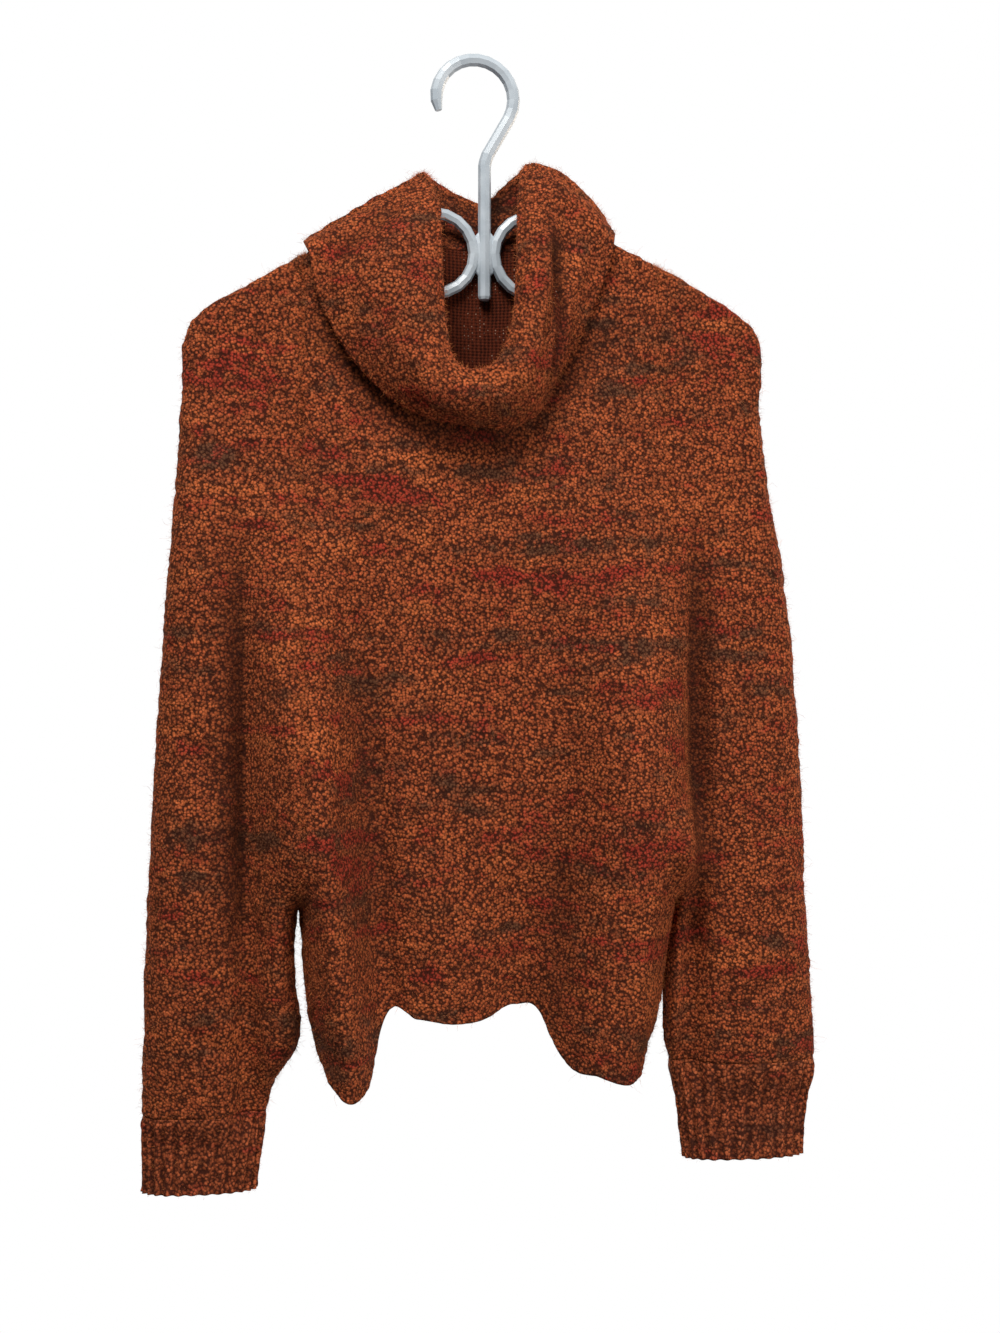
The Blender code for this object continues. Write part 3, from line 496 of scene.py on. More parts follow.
def dyes_and_painted_shade(points, painted_shade=0.0, streak=(0.055, 0.055, 0.0085)):
    """How red, how brown and how bright orange the yarn is at each point, and how much of its brightness the
    painted shade
    of the hollows leaves it: listed ovals, e to the minus squared distance in half sizes, added to random
    streaks that run along the rows of stitches."""
    x, z = points[..., 0], points[..., 2]
    made = {}
    for number, kind in enumerate(("red", "brown", "orange")):
        shift = 1.7 * (number + 1)
        rows = clouds(points + shift, streak) + 0.6 * clouds(points + 2 * shift, (0.02, 0.02, 0.005))
        flecks = 0.8 * clouds(points + 3 * shift, 0.0065) + 0.9 * clouds(points + 4 * shift, (0.026, 0.026, 0.013))
        amount = 0.62 * np.maximum(rows + 0.7 * flecks - 0.1, 0)
        for patch, middle_x, middle_z, half_width, half_height, strength in DYE_PATCHES:
            if patch == kind:
                oval = np.exp(-(((x - middle_x) / half_width) ** 2) - ((z - middle_z) / half_height) ** 2)
                amount = amount + strength * oval * (0.55 + 0.55 * flecks + 0.35 * rows)
        made[kind] = np.clip(amount, 0, 1)
    # The fourth channel is painted shade: the share of brightness that the darkening in the hollows leaves.
    unshaded_share = 1 - np.clip(painted_shade + 0 * x, 0, 0.8)
    return np.stack([made["red"], made["brown"], made["orange"], unshaded_share], axis=-1)


def quads(index):
    """The four corners of every cell of a grid of indices."""
    return np.stack([index[:-1, :-1], index[1:, :-1], index[1:, 1:], index[:-1, 1:]], axis=-1).reshape(-1, 4)


def rims(outer, inner):
    """Five-sided faces between a border of the outer grid and the inner border, which has half its steps."""
    return np.stack([outer[:-1:2], outer[1::2], outer[2::2], inner[1:], inner[:-1]], axis=-1)


def cloth_shell(name, smooth, out, raised, dye_and_shade, finishes, closed=False):
    """A closed thin shell: the outer face is the smooth grid moved out by raised, and the inner face, with half
    as many rows and columns, lies a wall inside the smooth grid. A closed grid joins its last column to its
    first. The UV map holds the distances across and down the cloth in metres."""
    rows, columns = smooth.shape[:2]
    outer = np.arange(rows * columns).reshape(rows, columns)
    inside = smooth[::2, ::2] - WALL * out[::2, ::2]
    inner = rows * columns + np.arange(inside[..., 0].size).reshape(inside.shape[:2])
    if closed:
        smooth = np.concatenate([smooth, smooth[:, :1]], axis=1)
        outer = np.concatenate([outer, outer[:, :1]], axis=1)
        inner = np.concatenate([inner, inner[:, :1]], axis=1)
    across = np.cumsum(np.linalg.norm(np.diff(smooth, axis=1, prepend=smooth[:, :1]), axis=-1).mean(axis=0))
    down = np.cumsum(np.linalg.norm(np.diff(smooth, axis=0, prepend=smooth[:1]), axis=-1).mean(axis=1))
    place = np.stack(np.broadcast_arrays(across, down[:, None]), axis=-1)
    outer_place = np.arange(place[..., 0].size).reshape(place.shape[:2])
    inner_place = outer_place[::2, ::2]
    parts = [(quads(outer), quads(outer_place)), (quads(inner)[:, ::-1], quads(inner_place)[:, ::-1])]
    for edge, flip in ((0, False), (-1, True)):
        pair = (rims(outer[edge], inner[edge]), rims(outer_place[edge], inner_place[edge]))
        parts.append(tuple(part[:, :: -1 if flip else 1] for part in pair))
        if not closed:
            pair = (rims(outer[:, edge], inner[:, edge]), rims(outer_place[:, edge], inner_place[:, edge]))
            parts.append(tuple(part[:, :: 1 if flip else -1] for part in pair))
    flat = smooth[:, : raised.shape[1]] + raised[..., None] * out
    middle = (rows // 2, columns // 2)
    step_down = smooth[middle[0] + 1, middle[1]] - smooth[middle]
    step_across = smooth[middle[0], middle[1] + 1] - smooth[middle]
    facing = np.cross(step_down, step_across)
    turn = 1 if np.dot(facing, out[middle]) > 0 else -1
    mesh = bpy.data.meshes.new(name)
    faces = [face for part, _ in parts for face in part[:, ::turn].tolist()]
    mesh.from_pydata(np.concatenate([flat.reshape(-1, 3), inside.reshape(-1, 3)]).tolist(), [], faces)
    corners = np.concatenate([part[:, ::turn].ravel() for _, part in parts])
    at = place.reshape(-1, 2)[corners].astype(np.float32)
    mesh.uv_layers.new(name="cloth").uv.foreach_set("vector", at.ravel())
    # The dye attribute holds the yarn's dye in three channels and, in the fourth, the painted shade of the folds.
    colours = np.concatenate([dye_and_shade.reshape(-1, 4), dye_and_shade[::2, ::2].reshape(-1, 4)]).astype(np.float32)
    mesh.attributes.new("dye_and_shade", "FLOAT_COLOR", "POINT").data.foreach_set("color", colours.ravel())
    slots = np.zeros(len(faces), np.int32)
    slots[len(parts[0][0]) : len(parts[0][0]) + len(parts[1][0])] = 1
    for finish in finishes:
        mesh.materials.append(finish)
    mesh.polygons.foreach_set("material_index", slots)
    mesh.shade_smooth()
    piece = bpy.data.objects.new(name, mesh)
    bpy.context.scene.collection.objects.link(piece)
    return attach(piece, "root")


def ribbons(name, points, out, dye_and_shade, count, length, width, segments, seed, finish):
    """Loose fibres as tapered flat ribbons. Each starts on a random point of the grid, leaves it mostly sideways,
    sags a little and turns at random at each of its segments."""
    chance = np.random.default_rng(seed)
    row = chance.integers(0, points.shape[0], count)
    column = chance.integers(0, points.shape[1], count)
    away = out[row, column]
    side = np.cross(away, chance.normal(size=(count, 3)))
    side = side / np.linalg.norm(side, axis=-1, keepdims=True)
    start = points[row, column] + side * chance.uniform(0, CLOTH_PITCH, (count, 1)) - 0.0006 * away
    heading = 0.75 * away + side * chance.uniform(0.2, 1.4, (count, 1))
    reach = length * chance.uniform(0.35, 1.0, (count, 1)) / segments
    line = [start]
    for step in range(segments):
        heading = heading / np.linalg.norm(heading, axis=-1, keepdims=True)
        line.append(line[-1] + reach * heading)
        heading = heading + chance.normal(scale=0.45, size=(count, 3)) - np.array([0, 0, 0.12])
    line = np.stack(line, axis=1)
    across = np.cross(line[:, -1] - line[:, 0], chance.normal(size=(count, 3)))
    across = across / np.linalg.norm(across, axis=-1, keepdims=True)
    taper = width / 2 * np.linspace(1.0, 0.45, segments)[:, None]
    left = line[:, :-1] + across[:, None] * taper
    right = line[:, :-1] - across[:, None] * taper
    vertices = np.concatenate([np.stack([left, right], axis=2).reshape(count, -1, 3), line[:, -1:]], axis=1)
    each = 2 * segments + 1
    base = each * np.arange(count)[:, None]
    steps = 2 * np.arange(segments - 1)
    sides = (base[:, :, None] + (steps[:, None] + np.array([0, 1, 3, 2]))[None]).reshape(-1, 4)
    tips = base + np.array([each - 3, each - 2, each - 1])
    mesh = bpy.data.meshes.new(name)
    mesh.from_pydata(vertices.reshape(-1, 3).tolist(), [], sides.tolist() + tips.tolist())
    # Each fibre takes the dye and the painted shade of the point that it starts on.
    colours = np.repeat(dye_and_shade[row, column], each, axis=0).astype(np.float32)
    mesh.attributes.new("dye_and_shade", "FLOAT_COLOR", "POINT").data.foreach_set("color", colours.ravel())
    mesh.materials.append(finish)
    piece = bpy.data.objects.new(name, mesh)
    bpy.context.scene.collection.objects.link(piece)
    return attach(piece, "root")


def loose_fibres(name, points, out, dye_and_shade, short_count, long_count, seed, size=(0.0056, 0.00024)):
    """The short fuzz of a piece, of the length and width given as its size, and its few long hairs."""
    ribbons(f"{name}_fuzz", points, out, dye_and_shade, short_count, *size, 2, seed, fuzz)
    ribbons(f"{name}_hairs", points, out, dye_and_shade, long_count, 0.013, 0.00016, 6, seed + 1, fuzz)


class Shade:
    """A socket of a material, so that shader arithmetic reads as Python expressions."""

    def __init__(self, tree, socket=None):
        self.tree = tree
        self.socket = socket

    def node(self, kind, settings, sockets, output=0):
        """A new node's output: its settings are set first, then the values or links of its sockets."""
        made = self.tree.nodes.new(kind)
        for name, value in settings.items():
            setattr(made, name, value)
        for name, value in sockets.items():
            if isinstance(value, Shade):
                self.tree.links.new(value.socket, made.inputs[name])
            else:
                made.inputs[name].default_value = value
        return Shade(self.tree, made.outputs[output])

    def output(self, number):
        """Another output of the node that this socket belongs to."""
        return Shade(self.tree, self.socket.node.outputs[number])

    def grey(self):
        """The value as a grey colour."""
        return self.node("ShaderNodeCombineColor", {}, {0: self, 1: self, 2: self})

    def math(self, operation, first, second=0.0):
        return self.node("ShaderNodeMath", {"operation": operation}, {0: first, 1: second})

    def __add__(self, other):
        return self.math("ADD", self, other)

    def __sub__(self, other):
        return self.math("SUBTRACT", self, other)

    def __mul__(self, other):
        return self.math("MULTIPLY", self, other)

    def __radd__(self, other):
        return self.math("ADD", other, self)

    def __rsub__(self, other):
        return self.math("SUBTRACT", other, self)

    def __rmul__(self, other):
        return self.math("MULTIPLY", other, self)

    def between(self, start, end):
        """0 up to start and 1 from end on, with soft ends."""
        settings = {"interpolation_type": "SMOOTHSTEP"}
        return self.node("ShaderNodeMapRange", settings, {"Value": self, "From Min": start, "From Max": end})

    def mix(self, factor, first, second, blend="MIX"):
        """A blend of two colours by the factor."""
        settings = {"data_type": "RGBA", "blend_type": blend}
        return self.node("ShaderNodeMix", settings, {0: factor, 6: first, 7: second}, 2)


def new_finish(name):
    """A new material, its surface shader and a shade to build with."""
    made = bpy.data.materials.new(name)
    made.use_nodes = True
    return made, made.node_tree.nodes["Principled BSDF"], Shade(made.node_tree)


def read_dye_and_shade(shade):
    """The mesh's dye attribute: how red, how brown and how bright orange, and the brightness that its painted shade
    leaves.
    """
    dye_and_shade = shade.node("ShaderNodeAttribute", {"attribute_name": "dye_and_shade"}, {}, 0)
    parts = shade.node("ShaderNodeSeparateColor", {}, {0: dye_and_shade})
    return parts, parts.output(1), parts.output(2), dye_and_shade.output(3)


def linear(red, green, blue):
    """A colour as the shader takes it, from the 0 to 255 values that a screen shows."""
    shares = np.array([red, green, blue]) / 255
    low, high = shares / 12.92, ((shares + 0.055) / 1.055) ** 2.4
    return (*np.where(shares <= 0.04045, low, high).tolist(), 1.0)


def knit_finish(name, rust, brown, red, orange, painted_gap_shade, loop_size, bump, sheen):
    """Boucle yarn: small random loops, each a little lighter or darker than the next, with painted shade in the
    gaps between them, coloured as the mesh's dye attribute says and darkened by the painted shade of the folds that
    it carries."""
    made, surface, shade = new_finish(name)
    place = shade.node("ShaderNodeTexCoord", {}, {}, 3)
    wobble = shade.node("ShaderNodeTexNoise", {}, {"Vector": place, "Scale": 0.6 / loop_size, "Detail": 2.0}, 1)
    bend = shade.node("ShaderNodeVectorMath", {"operation": "SCALE"}, {0: wobble, "Scale": 0.9 * loop_size})
    bent = shade.node("ShaderNodeVectorMath", {"operation": "ADD"}, {0: place, 1: bend})
    cells = {"Vector": bent, "Scale": 1 / loop_size, "Randomness": 1.0}
    far = shade.node("ShaderNodeTexVoronoi", {}, cells)
    split = shade.node("ShaderNodeSeparateColor", {}, {0: far.output(1)})
    second = split.output(1)
    fibres = shade.node("ShaderNodeTexNoise", {}, {"Vector": bent, "Scale": 2.2 / loop_size, "Detail": 3.0})
    mottle = shade.node("ShaderNodeTexNoise", {}, {"Vector": place, "Scale": 120.0, "Detail": 3.0})
    redness, brownness, brightness, painted_shade_factor = read_dye_and_shade(shade)
    yarn = shade.mix((mottle + 0.5 * split).between(0.55, 0.95) * 0.55, rust, orange)
    yarn = shade.mix((brownness + 0.35 * second - 0.2).between(0.05, 0.75), yarn, brown)
    yarn = shade.mix((redness + 0.4 * split - 0.25).between(0.05, 0.7), yarn, red)
    yarn = shade.mix((brightness + 0.3 * second - 0.2).between(0.05, 0.8), yarn, orange)
    # Each loop's random tone, times the painted shade of the folds.
    light = (0.62 + 0.66 * split + 0.9 * (fibres - 0.5)) * painted_shade_factor
    lit = shade.mix(1.0, yarn, light.grey(), "MULTIPLY")
    # Painted shade: the gaps between the loops, low in the bump, take the dark gap colour.
    painted_shade = (far + 0.35 * fibres).between(0.46, 0.86)
    colour = shade.mix(0.92 * painted_shade, lit, painted_gap_shade)
    made.node_tree.links.new(colour.socket, surface.inputs["Base Color"])
    height = (1.0 - far) + 0.5 * fibres
    raised = shade.node("ShaderNodeBump", {}, {"Strength": bump, "Distance": 0.4 * loop_size, "Height": height})
    made.node_tree.links.new(raised.socket, surface.inputs["Normal"])
    surface.inputs["Roughness"].default_value = 0.95
    surface.inputs["Specular IOR Level"].default_value = 0.15
    surface.inputs["Sheen Weight"].default_value = sheen
    surface.inputs["Sheen Roughness"].default_value = 0.6
    surface.inputs["Sheen Tint"].default_value = orange
    return made


RUST = linear(158, 76, 44)
BROWN = linear(100, 64, 44)
RED = linear(158, 54, 38)
ORANGE = linear(196, 102, 56)
# The darkest colour is painted shade, for the gaps between the loops.
PAINTED_GAP_SHADE = linear(40, 16, 10)
knit = knit_finish("boucle_knit", RUST, BROWN, RED, ORANGE, PAINTED_GAP_SHADE, 0.0021, 1.0, 0.2)


def inside_finish(name):
    """The knit's smooth inside: upright columns of small stitches, dark, with painted shade in their grooves
    and painted pinholes of light between some.
    """
    made, surface, shade = new_finish(name)
    place = shade.node("ShaderNodeTexCoord", {}, {}, 2)
    across = shade.node("ShaderNodeSeparateXYZ", {}, {0: place})
    down = across.output(1)
    noise = shade.node("ShaderNodeTexNoise", {}, {"Vector": place, "Scale": 350.0, "Detail": 3.0})
    clouded = shade.node("ShaderNodeTexNoise", {}, {"Vector": place, "Scale": 60.0, "Detail": 2.0})
    column = shade.math("SINE", across * (2 * math.pi / 0.003) + 4.0 * noise + 5.0 * clouded)
    row = shade.math("SINE", down * (2 * math.pi / 0.0024) + 1.5 * shade.math("ABSOLUTE", column))
    height = 0.6 * column + 0.4 * row + 0.5 * noise
    # Partly painted shade: the grooves between the stitches, low in the bump, are darker; partly random clouded
    # tone.
    light = (0.45 * height + 0.5 * clouded).between(-0.25, 0.75)
    colour = shade.mix(light, linear(34, 13, 8), linear(100, 44, 26))
    # Painted light: pale pinholes where light would come through the knit.
    pinhole = height.between(-0.4, -0.62) * clouded.between(0.5, 0.58)
    pinhole = pinhole * noise.between(0.5, 0.6)
    colour = shade.mix(pinhole * 0.9, colour, linear(226, 176, 150))
    made.node_tree.links.new(colour.socket, surface.inputs["Base Color"])
    raised = shade.node("ShaderNodeBump", {}, {"Strength": 0.6, "Distance": 0.0008, "Height": height})
    made.node_tree.links.new(raised.socket, surface.inputs["Normal"])
    surface.inputs["Roughness"].default_value = 0.95
    surface.inputs["Specular IOR Level"].default_value = 0.1
    return made


knit_inside = inside_finish("knit_inside")


def fuzz_finish(name, base, red, brown, orange):
    """Loose mohair fibres: paler than the yarn under them, coloured the same way, with the same painted shade in
    the folds.
    """
    made, surface, shade = new_finish(name)
    redness, brownness, _, painted_shade_factor = read_dye_and_shade(shade)
    place = shade.node("ShaderNodeTexCoord", {}, {}, 3)
    mottle = shade.node("ShaderNodeTexNoise", {}, {"Vector": place, "Scale": 500.0, "Detail": 1.0})
    yarn = shade.mix(mottle.between(0.35, 0.65), base, orange)
    yarn = shade.mix(brownness * 0.6, yarn, brown)
    yarn = shade.mix(redness * 0.7, yarn, red)
    # Painted shade of the folds.
    yarn = shade.mix(1.0, yarn, painted_shade_factor.grey(), "MULTIPLY")
    made.node_tree.links.new(yarn.socket, surface.inputs["Base Color"])
    surface.inputs["Roughness"].default_value = 0.9
    surface.inputs["Specular IOR Level"].default_value = 0.2
    surface.inputs["Sheen Weight"].default_value = 0.4
    surface.inputs["Sheen Tint"].default_value = orange
    return made


fuzz = fuzz_finish(
    "loose_fibres", linear(178, 92, 50), linear(196, 76, 46), linear(140, 96, 62), linear(222, 134, 76)
)


def odd(length, pitch):
    """An odd number of grid lines about a pitch apart over the length, so that every second one ends it too."""
    return 2 * round(length / pitch / 2) + 1


def shoulder_height(x):
    """The shoulder line's z at x, read off the outline between the neck points and the armholes."""
    z = np.linspace(NECK_POINT, SEAM_TOP - 0.02, 200)
    left = np.interp(x, left_outline(z)[::-1], z[::-1])
    right = np.interp(x, right_outline(z), z)
    return np.where(x < NECK_CENTRE, left, right)


def panel_grid(name, face, neck_drop, hem, pitch):
    """A panel's smooth outer face and its directions out: from the shoulder line and the neckline, a parabola
    between the neck points, to the hem, and evenly along the section across."""
    edges = left_body_edge(SPACING_HEIGHT), right_body_edge(SPACING_HEIGHT)
    section = np.linspace(*edges, 2000)
    depth = cloth_y(section, SPACING_HEIGHT, face, name)
    length = np.hypot(np.diff(section), np.diff(depth)).sum()
    share = even_steps(section, depth, odd(length, pitch))
    rows = odd(SEAM_TOP - SIDE_HEM, pitch)
    drop = np.concatenate([SEAM_ROWS, np.linspace(SEAM_ROWS[-1], 1, rows - len(SEAM_ROWS) + 1)[1:]])
    levels = SEAM_TOP - drop * (SEAM_TOP - SIDE_HEM)
    sewn = levels >= UNDERARM
    left = np.where(sewn, left_seam(levels) - SEAM_OVERLAP / 2, left_body_edge(levels) + SEAM_GAP / 2)
    right = np.where(sewn, right_seam(levels) + SEAM_OVERLAP / 2, right_body_edge(levels) - SEAM_GAP / 2)
    x = left[:, None] + (right - left)[:, None] * share
    across = (x[0] - NECK_CENTRE) / NECK_HALF_WIDTH
    neckline = NECK_POINT - neck_drop * (1 - across**2)
    top = np.where(np.abs(across) < 1, neckline, shoulder_height(x[0]))
    top[[0, -1]] = SEAM_TOP
    z = top - drop[:, None] * (top - hem(x[-1]))
    return cloth_points(x, z, face, name)


smooth, out = panel_grid("front", -1, FRONT_NECK_DROP, front_hem, CLOTH_PITCH)
# Painted shade in the front's folds and under the cowl, in the dye attribute's fourth channel.
dye_and_shade = dyes_and_painted_shade(smooth, creases(smooth[..., 0], smooth[..., 2], FRONT_PAINTED_SHADE))
raised = relief(smooth, FRONT_CREASES)
front = cloth_shell("front_panel", smooth, out, raised, dye_and_shade, [knit, knit_inside])
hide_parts("front")
raised_points = smooth + raised[..., None] * out
loose_fibres("front", raised_points, out, dye_and_shade, 27000, 1500, 21)

# The back panel: the same cloth, seamed to the front along the shoulders and sides, with a shallow neckline.
# Its inside shows through the neck.
BACK_NECK_DROP = 0.014
BACK_HEM = (
    (-0.115, -0.718),
    (-0.098, -0.716),
    (-0.076, -0.701),
    (-0.05, -0.688),
    (0.0, -0.685),
    (0.05, -0.688),
    (0.08, -0.702),
    (0.104, -0.717),
    (0.125, -0.718),
)
smooth, out = panel_grid("back", 1, BACK_NECK_DROP, smooth_curve(BACK_HEM), 1.15 * CLOTH_PITCH)
# Painted shade in the back's folds.
dye_and_shade = dyes_and_painted_shade(smooth, creases(smooth[..., 0], smooth[..., 2], BACK_PAINTED_SHADE))
raised = relief(smooth, BACK_CREASES)
back = cloth_shell("back_panel", smooth, out, raised, dye_and_shade, [knit, knit_inside])
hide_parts("back")
raised_points = smooth + raised[..., None] * out
loose_fibres("back", raised_points, out, dye_and_shade, 10000, 800, 23, (0.005, 0.00022))

# The two sleeves: one piece of the same cloth each, folded over the arm and closed under it, set into deep
# armholes and narrowing to the cuffs.
CUFF_TOPS = {"left": -0.757, "right": -0.73}
SLEEVES = {
    "left": (left_seam, left_sleeve_inner, left_outline, -1, (0.235, 0.62), 0.135),
    "right": (right_seam, right_sleeve_inner, right_outline, 1, (0.235, 0.6), 0.13),
}


def sleeve_grid(name, seam, inner, outline, away, bottom, pitch):
    """A sleeve's smooth outer face and its directions out: from the armhole seam in front, round the outer edge,
    to the seam behind, and down to the cuff."""
    rows = odd(SEAM_TOP - bottom, pitch)
    drop = np.concatenate([SEAM_ROWS[1:], np.linspace(SEAM_ROWS[-1], 1, rows - len(SEAM_ROWS) + 2)[1:]])
    levels = SEAM_TOP - drop * (SEAM_TOP - bottom)
    sewn = levels >= UNDERARM
    start = np.where(sewn, seam(levels) - away * SEAM_OVERLAP / 2, inner(levels) + away * SEAM_GAP / 2)
    end = outline(levels)
    grids = []
    for face in (-1, 1):
        section = np.linspace(inner(SPACING_HEIGHT), outline(SPACING_HEIGHT), 2000)
        depth = cloth_y(section, SPACING_HEIGHT, face, name)
        length = np.hypot(np.diff(section), np.diff(depth)).sum()
        share = even_steps(section, depth, odd(length, pitch))
        x = start[:, None] + (end - start)[:, None] * share
        grids.append(cloth_points(x, np.repeat(levels[:, None], len(share), axis=1), face, name))
    (front_points, front_out), (back_points, back_out) = grids
    turn = (front_points[:, -1:] + back_points[:, -1:]) / 2
    turn_out = front_out[:, -1:] + back_out[:, -1:]
    turn_out = turn_out / np.linalg.norm(turn_out, axis=-1, keepdims=True)
    points = np.concatenate([front_points[:, :-1], turn, back_points[:, -2::-1]], axis=1)
    return points, np.concatenate([front_out[:, :-1], turn_out, back_out[:, -2::-1]], axis=1)


for side, (seam, inner, outline, away, flat, area) in SLEEVES.items():
    smooth, out = sleeve_grid(f"sleeve_{side}", seam, inner, outline, away, CUFF_TOPS[side], CLOTH_PITCH)
    # Painted shade in the folds, from the front's table in front and the back's table behind.
    behind = smooth_step(smooth[..., 1], -0.004, 0.004)
    painted_shade = [creases(smooth[..., 0], smooth[..., 2], table) for table in (FRONT_PAINTED_SHADE, BACK_PAINTED_SHADE)]
    dye_and_shade = dyes_and_painted_shade(smooth, (1 - behind) * painted_shade[0] + behind * painted_shade[1])
    raised = (1 - behind) * relief(smooth, FRONT_CREASES) + behind * relief(smooth, BACK_CREASES)
    sleeve = cloth_shell(f"sleeve_{side}_knit", smooth, out, raised, dye_and_shade, [knit, knit_inside])
    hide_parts(f"sleeve_{side}")
    raised_points = smooth + raised[..., None] * out
    loose_fibres(f"sleeve_{side}", raised_points, out, dye_and_shade, 20000, 1400, 25 if side == "left" else 28)

# The cuffs: short tubes of soft rib, knitted tighter from the same yarn and seamed to the sleeves' ends.
CUFF_BOTTOMS = {"left": -0.812, "right": -0.803}
CUFF_RIBS = 26
CUFF_RIB_HEIGHT = 0.0013
CUFF_ROWS = 51
CUFF_RIB_PAINTED_SHADE = 0.42
CUFF_TAKES_ITS_OWN_SHAPE = 0.45
CUFF_SQUARENESS = 0.8
# The ribbed knit's darkest colour is painted shade, for the gaps between its loops.
cuff_knit = knit_finish(
    "ribbed_knit", linear(160, 78, 46), linear(104, 62, 44), linear(162, 62, 44), linear(194, 104, 62),
    linear(48, 20, 14), 0.0024, 0.8, 0.2,
)
for side, (seam, inner, outline, away, flat, area) in SLEEVES.items():
    z = np.linspace(CUFF_TOPS[side] - SEAM_GAP, CUFF_BOTTOMS[side], CUFF_ROWS)[:, None]
    turn = np.linspace(0, 2 * np.pi, 12 * CUFF_RIBS, endpoint=False)
    middle = (inner(z) + outline(z)) / 2
    x = middle + np.abs(outline(z) - inner(z)) / 2 * np.cos(turn)
    y = lean(z) + half_depth(z) * np.sign(np.sin(turn)) * np.abs(np.sin(turn)) ** CUFF_SQUARENESS
    # At its top the cuff has the very section of the sleeve's end.
    sewn_to = [cloth_y(x, CUFF_TOPS[side] + 0 * x, face, f"sleeve_{side}") for face in (-1, 1)]
    down = np.linspace(0, 1, CUFF_ROWS)[:, None]
    own = smooth_step(down, 0.0, CUFF_TAKES_ITS_OWN_SHAPE)
    y = own * y + (1 - own) * np.where(np.sin(turn) < 0, *sewn_to)
    smooth = np.stack([x, y, z + 0 * x], axis=-1)
    around = np.roll(smooth, -1, axis=1) - np.roll(smooth, 1, axis=1)
    out = np.stack([around[..., 1], -around[..., 0], 0 * x], axis=-1)
    out = out / np.linalg.norm(out, axis=-1, keepdims=True)
    ribs = CUFF_RIB_HEIGHT * np.cos(CUFF_RIBS * turn) * smooth_step(down, 0.0, 0.12)
    raised = ribs + 0.6 * lumps(smooth) + 0.0008 * smooth_step(down, 0.9, 1.0)
    # Painted shade: the yarn's colour is darkened in the troughs between the ribs.
    between_ribs = smooth_step(-np.cos(CUFF_RIBS * turn), 0.1, 1.0) * smooth_step(down, 0.0, 0.15)
    dye_and_shade = dyes_and_painted_shade(smooth, CUFF_RIB_PAINTED_SHADE * between_ribs)
    cuff = cloth_shell(f"cuff_{side}_rib", smooth, out, raised, dye_and_shade, [cuff_knit, knit_inside], closed=True)
    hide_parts(f"cuff_{side}")
    seed = 31 if side == "left" else 33
    ribbons(f"cuff_{side}_fuzz", smooth + raised[..., None] * out, out, dye_and_shade, 2600, 0.004, 0.0002, 2, seed, fuzz)

# The cowl: a wide tube of the same cloth that rises from the neckline, turns over at a soft fold and falls
# outside to its free edge. One crease runs down it on the wearer's left.
# Each row of the table: where the section leaves the neckline (in turns from the back's middle, over the left
# of the picture), the crest of the fold (x, y, z), the free edge (x, z), its stand-off and the layer's swell.
COWL_SECTIONS = (
    (0.0, 0.007, 0.027, -0.095, 0.007, -0.196, 0.006, 0.014),
    (0.075, -0.016, 0.025, -0.087, -0.046, -0.192, 0.006, 0.014),
    (0.15, -0.033, 0.016, -0.079, -0.09, -0.176, 0.006, 0.008),
    (0.225, -0.036, 0.002, -0.081, -0.115, -0.152, 0.008, 0.004),
    (0.25, -0.035, -0.003, -0.084, -0.12, -0.13, 0.005, 0.001),
    (0.275, -0.032, -0.011, -0.094, -0.12, -0.15, 0.006, 0.004),
    (0.3, -0.03, -0.019, -0.107, -0.118, -0.164, 0.005, 0.009),
    (0.35, -0.028, -0.03, -0.146, -0.109, -0.19, 0.006, 0.014),
    (0.4, -0.026, -0.037, -0.192, -0.089, -0.224, 0.008, 0.015),
    (0.45, -0.019, -0.043, -0.226, -0.05, -0.259, 0.01, 0.015),
    (0.5, 0.001, -0.046, -0.231, 0.004, -0.27, 0.011, 0.014),
    (0.55, 0.016, -0.044, -0.217, 0.04, -0.262, 0.01, 0.013),
    (0.6, 0.025, -0.038, -0.185, 0.057, -0.233, 0.009, 0.014),
    (0.65, 0.027, -0.031, -0.143, 0.076, -0.197, 0.007, 0.015),
    (0.7, 0.03, -0.018, -0.105, 0.093, -0.158, 0.005, 0.013),
    (0.725, 0.033, -0.01, -0.088, 0.099, -0.138, 0.006, 0.013),
    (0.75, 0.037, -0.002, -0.075, 0.1, -0.12, 0.005, 0.012),
    (0.775, 0.039, 0.003, -0.072, 0.098, -0.139, 0.007, 0.012),
    (0.85, 0.035, 0.016, -0.074, 0.08, -0.174, 0.006, 0.013),
    (0.925, 0.022, 0.024, -0.085, 0.052, -0.192, 0.006, 0.014),
)
COWL_TURN_RADIUS = 0.004
COWL_INNER_ROWS = 40
COWL_TURN_ROWS = 9
COWL_OUTER_ROWS = 56
COWL_COLUMNS = 280
NECK_SEAM = 0.0008
# The broad trough of the cowl's second fold: its turn and share of the way down, with their widths, and depth.
COWL_TROUGH = (0.655, 0.075, 0.5, 0.13, 0.0075)
# Smaller creases: two ends (turn, share of the way down), half width in metres and depth.
COWL_CREASES = (
    (0.7, 0.2, 0.56, 1.0, 0.005, -0.0035),
    (0.66, 0.55, 0.61, 0.95, 0.006, 0.003),
    (0.34, 0.1, 0.4, 0.8, 0.008, -0.002),
    (0.42, 0.2, 0.48, 0.75, 0.008, 0.0018),
    (0.28, 0.15, 0.3, 0.9, 0.007, -0.0022),
    (0.8, 0.2, 0.78, 0.8, 0.008, -0.0018),
    (0.1, 0.2, 0.13, 0.8, 0.009, -0.002),
    (0.92, 0.2, 0.9, 0.8, 0.009, 0.002),
)
